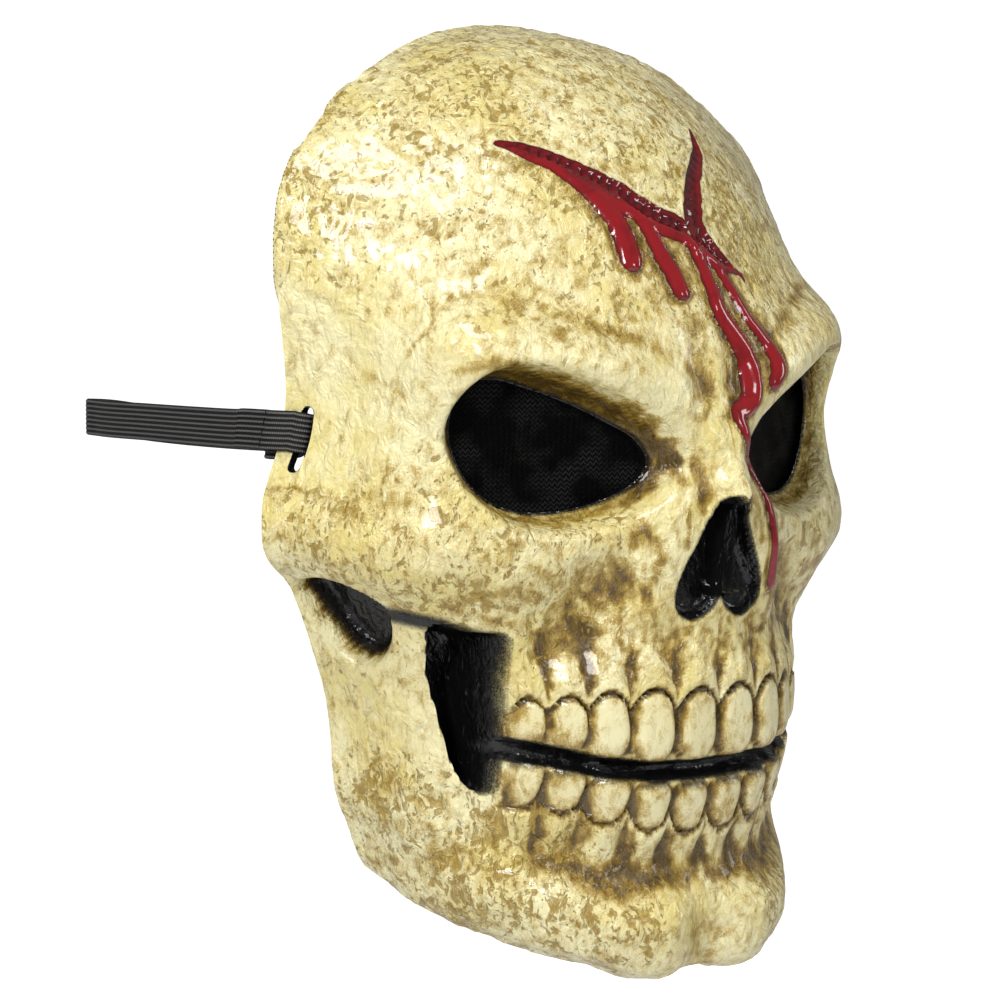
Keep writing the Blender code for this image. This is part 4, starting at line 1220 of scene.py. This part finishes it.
# The grain runs up and down, and on a slant over the brow. The slant is mirrored on the far side, and
# the noise is shifted there, so that neither side is a copy of the other.
split = node(tree, "SeparateXYZ", {0: place}).outputs
aside = maths(tree, "ABSOLUTE", split[0])
far_side = maths(tree, "GREATER_THAN", split[0], 0.0)
shifted_y = maths(tree, "MULTIPLY_ADD", far_side, 0.37, split[1])
mirrored = node(tree, "CombineXYZ", {0: aside, 1: shifted_y, 2: split[2]}).outputs[0]
upright = stretched(tree, mirrored, (0, 0, 0), (1, 1, 0.7))
sloping = stretched(tree, mirrored, (0, radians(57), radians(20)), (1, 1, 0.45))


def flowing(length, *settings):
    """A noise drawn out along the grain, upright or on a slant."""
    ways = [stretched(tree, way, (0, 0, 0), (1, 1, length)) for way in (upright, sloping)]
    return blended(tree, slant, *[grain(tree, way, *settings) for way in ways])


cloud = grain(tree, place, 42, 4)
patches = grain(tree, place, 150, 4, 0.6)
brushed = flowing(0.5, 520, 4, 0.3, 0.6)
blots = flowing(1, 270, 4, 0.8, 0.56)
specks = flowing(1, 600, 3, 0.6, 0.5)
dust = grain(tree, place, 2100, 3, 0.0, 0.65)
print("grain:", len(tree.nodes), "nodes")

# %% Bone: cream, wash and pits
colour = mixed(tree, step_of(tree, cloud, 0.40, 0.62), CREAM, YELLOWED)
colour = mixed(tree, step_of(tree, patches, 0.35, 0.65, 0.0, 0.6), colour, CREAM)
colour = mixed(tree, maths(tree, "MULTIPLY", tooth, 0.7), colour, TOOTH_CREAM)


def around(value, gain, rest=0.0):
    """A noise, shifted so that its middle is nothing, made stronger and added to the rest."""
    return maths(tree, "MULTIPLY_ADD", maths(tree, "SUBTRACT", value, 0.5), gain, rest)


# The wash is a thin coat that thickens where its amount, the streaks and the patches add up.
level = around(brushed, 1.1, wash)
level = around(patches, 1.3, level)
level = around(blots, 1.6, level)
level = around(dust, 1.0, level)
colour = mixed(tree, step_of(tree, level, -0.05, 0.75, 0.0, 0.8), colour, WASH_LIGHT)
colour = mixed(tree, step_of(tree, level, 0.35, 1.15, 0.0, 0.9), colour, WASH_MIDDLE)
colour = mixed(tree, step_of(tree, level, 0.85, 1.6, 0.0, 0.9), colour, WASH_DARK)

# The pits are the low spots of the cast, in loose clusters.
cluster = around(cloud, 0.30, maths(tree, "MULTIPLY", pits, 0.15))
cluster = around(patches, 0.30, cluster)
blot_depth = maths(tree, "SUBTRACT", maths(tree, "ADD", cluster, 0.30), blots)
speck_depth = maths(tree, "SUBTRACT", maths(tree, "ADD", cluster, 0.295), specks)
pit_depth = around(dust, 0.05, maths(tree, "MAXIMUM", blot_depth, speck_depth))
has_pits = step_of(tree, pits, 0.02, 0.3)
pit_mask = maths(tree, "MULTIPLY", step_of(tree, pit_depth, -0.01, 0.035), has_pits)
pit_core = maths(tree, "MULTIPLY", step_of(tree, pit_depth, 0.02, 0.09), has_pits)
colour = mixed(tree, maths(tree, "MULTIPLY", pit_mask, 0.8), colour, WASH_LIGHT)
colour = mixed(tree, maths(tree, "MULTIPLY", pit_core, 0.65), colour, WASH_MIDDLE)
print("wash and pits:", len(tree.nodes), "nodes")

# %% Bone: black, red and the inner side
fleck = around(dust, 1.2, maths(tree, "MULTIPLY", maths(tree, "SUBTRACT", specks, 0.5), 0.4))
black_place = maths(tree, "ADD", fleck, black)
# Grey: overspray round the black, and painted shade under the gum's edge and under the cheekbone.
spray_and_shade_level = maths(tree, "ADD", maths(tree, "MULTIPLY", fleck, 0.35), overspray_and_shade)
spray_and_shade_mask = step_of(tree, spray_and_shade_level, 0.1, 1.0, 0.0, 0.85)
colour = mixed(tree, spray_and_shade_mask, colour, BLACK_PAINT)
black_mask = step_of(tree, black_place, -0.6, 0.5)
colour = mixed(tree, black_mask, colour, BLACK_PAINT)

blood_mask = step_of(tree, blood, -0.1, 0.1)
stain = step_of(tree, blood, -0.8, 0.0, 0.0, 0.3)
colour = mixed(tree, stain, colour, WASH_DARK)
red = mixed(tree, wound, BLOOD, BLOOD_DARK)
red = mixed(tree, step_of(tree, patches, 0.45, 0.7, 0.0, 0.35), red, BLOOD_DARK)
red = mixed(tree, step_of(tree, blood, 0.9, 0.0, 0.0, 0.55), red, BLOOD_DARK)
colour = mixed(tree, blood_mask, colour, red)
colour = mixed(tree, inside, colour, INSIDE_BLACK)
print("paint:", len(tree.nodes), "nodes")

# %% Bone: gloss and bump
rough_bone = maths(tree, "MULTIPLY_ADD", patches, 0.16, 0.16)
rough_bone = maths(tree, "MULTIPLY_ADD", pit_mask, 0.2, rough_bone)
gloss = maths(tree, "MAXIMUM", blood_mask, step_of(tree, black_place, -0.3, 0.6))
glossy = blended(tree, gloss, rough_bone, 0.12)
roughness = blended(tree, inside, glossy, 0.5)
coat = maths(tree, "MULTIPLY_ADD", black_mask, -0.3, 0.3)

waves = grain(tree, place, 230, 3, 0.5)
lumps = maths(tree, "MULTIPLY_ADD", blots, 1.0, maths(tree, "MULTIPLY", waves, 0.6))
lumps = maths(tree, "MULTIPLY_ADD", brushed, 0.1, lumps)
lumps = maths(tree, "MULTIPLY_ADD", pit_mask, -0.22, lumps)
calm = maths(tree, "MULTIPLY", tooth, 0.7)
calm = maths(tree, "MAXIMUM", calm, maths(tree, "MULTIPLY", blood_mask, 0.97))
calm = maths(tree, "MAXIMUM", calm, maths(tree, "MULTIPLY", black_mask, 0.6))
lumps = maths(tree, "MULTIPLY", lumps, maths(tree, "SUBTRACT", 1.0, calm))
bump = node(tree, "Bump", {"Height": lumps, "Strength": 0.9, "Distance": 0.002}).outputs[0]
feed(tree, {"Base Color": colour, "Roughness": roughness, "Normal": bump})
feed(tree, {"Coat Weight": coat, "Coat Roughness": 0.05})
cut_mesh.materials.clear()
cut_mesh.materials.append(bone)
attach(shell, "root")
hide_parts("mask_shell")
print("bone material:", len(tree.nodes), "nodes")

# %% [markdown]
# Eye nets
#
# Behind each eye hole a piece of black knitted net is glued flat to the shell. It is one sheet with
# slack folds, so it is a grid bent round into a disc of the hole's own outline, whose seam and pole are
# merged, and whose vertices sink back a little along two folds. Its thickness comes from Solidify.

# %% Net sheets
NET_RINGS = 36
NET_THICKNESS = 0.0004
NET_FOLD = 0.0016


def area_of(outline):
    x, z = outline.T
    return (x * np.roll(z, -1) - np.roll(x, -1) * z).sum() / 2


def grown(outline, by):
    """The outline moved out square to itself."""
    ahead = np.roll(outline, -1, axis=0) - np.roll(outline, 1, axis=0)
    normal = np.column_stack([ahead[:, 1], -ahead[:, 0]])
    normal /= np.linalg.norm(normal, axis=1, keepdims=True)
    return outline + np.sign(area_of(outline)) * by * normal


def net_sheet(name, hand):
    rim = grown(front_outline(EYE_OUTLINE, 8), PANEL_MARGIN)
    centre = rim.mean(axis=0)
    tilt = (1 + EYE_PLANE_SLOPE**2) ** 0.5
    bm = bmesh.new()
    made = bmesh.ops.create_grid(bm, x_segments=len(rim), y_segments=NET_RINGS, size=1.0)
    for i, vert in enumerate(made["verts"]):
        ring, column = divmod(i, len(rim) + 1)
        share = ring / NET_RINGS
        x, z = centre + (rim[column % len(rim)] - centre) * share
        slack = ease(np.array(1.35 - share * 1.45))
        across = x / HALF_WIDTH * 9 + z / HEIGHT * 10
        fold = 0.5 + 0.5 * sin(2.2 * across) + 0.25 * sin(5 * across + 60 * z)
        back = (WALL + GAP + PANEL_THICKNESS / 2) * tilt + NET_FOLD * float(slack) * fold
        vert.co = (hand * x, -(float(eye_plane(x)) - back), z)
    bmesh.ops.remove_doubles(bm, verts=bm.verts[:], dist=1e-6)
    bmesh.ops.recalc_face_normals(bm, faces=bm.faces[:])
    if sum(face.normal.y for face in bm.faces) > 0:
        bmesh.ops.reverse_faces(bm, faces=bm.faces[:])
    mesh = finished_mesh(name, bm)
    mesh.shade_smooth()
    sheet = placed(name, mesh)
    solid = sheet.modifiers.new("thickness", "SOLIDIFY")
    solid.thickness = NET_THICKNESS
    solid.offset = 0.0
    wide, tall = np.ptp(rim[:, 0]) * tilt, np.ptp(rim[:, 1])
    area = abs(area_of(rim)) * tilt
    print(name, "cut", round(wide, 4), "x", round(tall, 4), "area", round(area, 5))
    return sheet, (float(wide), float(tall)), float(area)


# %% Net material
LOOPS_A_METRE = 760.0
NET_DARK = (0.0004, 0.0004, 0.0004, 1)
NET_LIT = (0.018, 0.018, 0.018, 1)

net = plain_material("black_knit", (0.006, 0.006, 0.006), 0.5)
tree = net.node_tree
place = node(tree, "TexCoord").outputs["Object"]
split = node(tree, "SeparateXYZ", {0: place}).outputs
across = maths(tree, "FRACT", maths(tree, "MULTIPLY", split[0], LOOPS_A_METRE))
leg = maths(tree, "ABSOLUTE", maths(tree, "SUBTRACT", across, 0.5))
wobble = grain(tree, place, 500, 2)
zigzag = maths(tree, "MULTIPLY_ADD", leg, 1.5, wobble)
course = maths(tree, "FRACT", maths(tree, "MULTIPLY_ADD", split[2], LOOPS_A_METRE, zigzag))
loops = maths(tree, "MULTIPLY", step_of(tree, course, 0.05, 0.25), step_of(tree, course, 0.75, 0.45))
lit = step_of(tree, grain(tree, place, 90, 2), 0.45, 0.66)
shade = mixed(tree, maths(tree, "MULTIPLY", loops, lit), NET_DARK, NET_LIT)
bump = node(tree, "Bump", {"Height": loops, "Strength": 0.8, "Distance": 0.0004}).outputs[0]
feed(tree, {"Base Color": shade, "Normal": bump, "Specular IOR Level": 0.06})
for hand, wearers_side in ((-1.0, "right"), (1.0, "left")):
    sheet, flat, area = net_sheet("eye_net_" + wearers_side, hand)
    sheet.data.materials.append(net)
    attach(sheet, "root")
    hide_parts("eye_mesh_" + wearers_side)

# %% [markdown]
# The strap
#
# The strap is flat ribbed elastic. It passes through the slot at each side, folds back and is sewn to
# itself, and the folded end hangs a little lower, so that a tab of it shows below the band. It is a
# flat grid closed into a tube: its columns follow the ribbed section, with a fine groove between the
# cords of the elastic, and its rows follow the strap's route. A row of small zigzag stitches holds
# each fold.

# %% Route of the strap


def wall_beside_strap(wall, forward_at, z):
    """How far to the side a wall lies at this height, at each place forward."""
    half = wall.shape[1] // 2
    part = wall[:, half:]
    reach_at = [np.interp(forward_at, row[::-1, 1], row[::-1, 0]) for row in part]
    level = [np.interp(forward_at, row[::-1, 1], row[::-1, 2]) for row in part]
    found = [
        np.interp(z, [row[i] for row in level], [row[i] for row in reach_at])
        for i in range(len(forward_at))
    ]
    return np.array(found)


def strap_points():
    """The strap's middle line from end to end: sideways, forward, height and lean."""
    off = STRAP_CLEARANCE + STRAP_THICKNESS / 2
    at = np.array([0.0, 0.3, 0.6, 1.0]) * SLOT_FORWARD
    edges = STRAP_HEIGHT + STRAP_WIDTH * np.array([0.5, -0.5])
    above, below = ([wall_beside_strap(wall, at, z) for wall in (outer, inner)] for z in edges)
    outer_x = (above[0] + below[0]) / 2
    inner_x = (above[1] + below[1]) / 2
    lean = ((above[0] - below[0]) / STRAP_WIDTH).mean()
    outside = outer_x[:3] + off
    inside_x = inner_x[:3] - off
    radius = (outer_x[3] - inner_x[3]) / 2 + off
    round_slot = []
    for turned in (0.1, 0.3, 0.5, 0.7, 0.9):
        f = SLOT_FORWARD - radius + radius * sin(turned * pi)
        middle = np.interp(f, at, (outer_x + inner_x) / 2)
        drop = FOLD_DROP * 0.6 * (1 - turned)
        round_slot.append((middle - radius * cos(turned * pi), f, drop, lean))
    laid_on = STRAP_THICKNESS + GAP
    end_behind = TAB_LENGTH - SLOT_FORWARD
    met_behind = (end_behind + RIM_CLEARANCE) / 2
    tab_x = outside[0] - laid_on
    tab = [(tab_x - b * TAB_SPREAD, -b, FOLD_DROP, lean) for b in (end_behind, met_behind)]
    tab.append((inside_x[0], -RIM_CLEARANCE, FOLD_DROP, lean))
    inward = [(x, f, FOLD_DROP * (1 - 0.35 * f / at[2]), lean) for x, f in zip(inside_x, at)]
    back_out = [(x, f, 0.0, lean) for x, f in zip(outside[::-1], at[2::-1])]
    left = (tab + inward + round_slot + back_out)[::-1]
    rightward = [(-x, f, d, -tilt) for x, f, d, tilt in left[::-1]]
    route = [
        (x * HALF_WIDTH, -behind * STRAP_REACH, drop * STRAP_WIDTH, x * share * lean)
        for x, behind, drop, share in STRAP_ROUTE
    ]
    points = np.array(rightward + route + left)
    points[:, 2] = STRAP_HEIGHT - points[:, 2]
    return points


# %% Strap mesh
RIBS = 8
RIB_GROOVE = 0.00022


def strap_section():
    """Points round the strap's section: across its thickness and up its width."""
    half = STRAP_WIDTH / 2
    steps = np.linspace(-1, 1, RIBS * 4 + 1)
    rib = 0.5 + 0.5 * np.cos(steps * RIBS * pi)
    edge = np.sqrt(np.clip(1 - np.abs(steps) ** 14, 0, None))
    thick = STRAP_THICKNESS / 2 * edge - RIB_GROOVE * rib * (np.abs(steps) < 0.99)
    front_side = [(t, s * half) for s, t in zip(steps, thick)]
    back_side = [(-t, s * half) for s, t in zip(steps[::-1], thick[::-1])]
    return front_side + back_side[1:-1]


points = smooth_path(strap_points(), each=8)
ahead = np.gradient(points[:, :2], axis=0)
ahead /= np.linalg.norm(ahead, axis=1, keepdims=True)
section = strap_section()
run = np.concatenate([[0.0], np.cumsum(np.linalg.norm(np.diff(points[:, :3], axis=0), axis=1))])
bm = bmesh.new()
made = bmesh.ops.create_grid(bm, x_segments=len(section), y_segments=len(points) - 1, size=1.0)
UV_LENGTH = 0.01  # metres of strap to one unit of its UV map
uv = bm.loops.layers.uv.new("along_strap")
length_of, width_of = {}, {}
for i, vert in enumerate(made["verts"]):
    row, column = divmod(i, len(section) + 1)
    thick, rise = section[column % len(section)]
    x, f, z, lean = points[row]
    dx, df = ahead[row]
    vert.co = (x - df * thick + lean * rise, -(f + dx * thick), z + rise)
    length_of[vert] = run[row]
    width_of[vert] = column / len(section)
for face in bm.faces:
    for loop in face.loops:
        loop[uv].uv = (length_of[loop.vert] / UV_LENGTH, width_of[loop.vert])
bmesh.ops.remove_doubles(bm, verts=bm.verts[:], dist=1e-6)
bmesh.ops.holes_fill(bm, edges=[edge for edge in bm.edges if edge.is_boundary], sides=0)
bmesh.ops.recalc_face_normals(bm, faces=bm.faces[:])
print("strap:", round(float(run[-1]), 3), "m long")

# %% Stitches
STITCHES = 7
STITCH_INSET = 0.0015  # from the end of the fold
STITCH_THICK = 0.22 * MM
STITCH_LONG = 0.8 * MM
STITCH_SLANT = 0.45
SEWN_SHARE = 0.8  # of the strap's width

at_slot = int(np.argmax(points[: len(points) // 2, 1]))
behind = points[at_slot : at_slot + 60, 1] - SLOT_FORWARD
sewn_at = at_slot + int(np.argmin(np.abs(behind + TAB_LENGTH - STITCH_INSET)))
x, f, z, lean = points[sewn_at]
dx, df = ahead[sewn_at]
skin = -STRAP_THICKNESS / 2
size = Matrix.Diagonal((STITCH_THICK, STITCH_THICK, STITCH_LONG, 1.0))
for k in range(STITCHES):
    rise = STRAP_WIDTH * SEWN_SHARE * (k / (STITCHES - 1) - 0.5)
    spot = Vector((x - df * skin + lean * rise, -(f + dx * skin), z + rise))
    along = Vector((lean, -STITCH_SLANT if k % 2 else STITCH_SLANT, 1.0)).normalized()
    aim = along.to_track_quat("Z", "Y").to_matrix().to_4x4()
    for hand in (1.0, -1.0):
        turn = Matrix.Diagonal((hand, 1.0, 1.0, 1.0)) @ Matrix.Translation(spot) @ aim @ size
        made = bmesh.ops.create_uvsphere(bm, u_segments=8, v_segments=5, radius=1.0, matrix=turn)
        if hand < 0:
            stitch = {face for vert in made["verts"] for face in vert.link_faces}
            bmesh.ops.reverse_faces(bm, faces=list(stitch))
strap_mesh = finished_mesh("ribbed_strap", bm)
strap_mesh.shade_smooth()
strap_mesh.set_sharp_from_angle(angle=radians(60))
strap = placed("ribbed_strap", strap_mesh)
print("strap with its stitches:", len(strap_mesh.polygons), "faces")

# %% Elastic material
GROOVE_DARK = (0.003, 0.003, 0.0033, 1)
YARN_LIT = (0.13, 0.127, 0.12, 1)

elastic = plain_material("ribbed_elastic", (0.012, 0.012, 0.013), 0.6)
tree = elastic.node_tree
uv_place = node(tree, "UVMap", uv_map="along_strap").outputs[0]
pick_size = {"Vector": uv_place, "Scale": 5.2, "Distortion": 1.2, "Detail": 2.0}
picks = node(tree, "TexWave", pick_size, bands_direction="X")
fuzz = grain(tree, node(tree, "TexCoord").outputs["Object"], 2600, 3)
yarn = maths(tree, "MULTIPLY_ADD", fuzz, 0.6, picks.outputs["Fac"])
up_strap = node(tree, "SeparateXYZ", {0: uv_place}).outputs[1]
up_rib = maths(tree, "FRACT", maths(tree, "MULTIPLY", up_strap, 2 * RIBS))
from_rib = maths(tree, "SUBTRACT", up_rib, 0.5)
on_rib = step_of(tree, maths(tree, "ABSOLUTE", from_rib), 0.3, 0.06)
lit_yarn = maths(tree, "MULTIPLY", on_rib, step_of(tree, yarn, 0.1, 1.2, 0.35, 1.0))
shade = mixed(tree, lit_yarn, GROOVE_DARK, YARN_LIT)
bump = node(tree, "Bump", {"Height": yarn, "Strength": 0.5, "Distance": 0.00015}).outputs[0]
feed(tree, {"Base Color": shade, "Normal": bump, "Specular IOR Level": 0.2})
strap_mesh.materials.append(elastic)
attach(strap, "root")
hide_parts("elastic_strap")
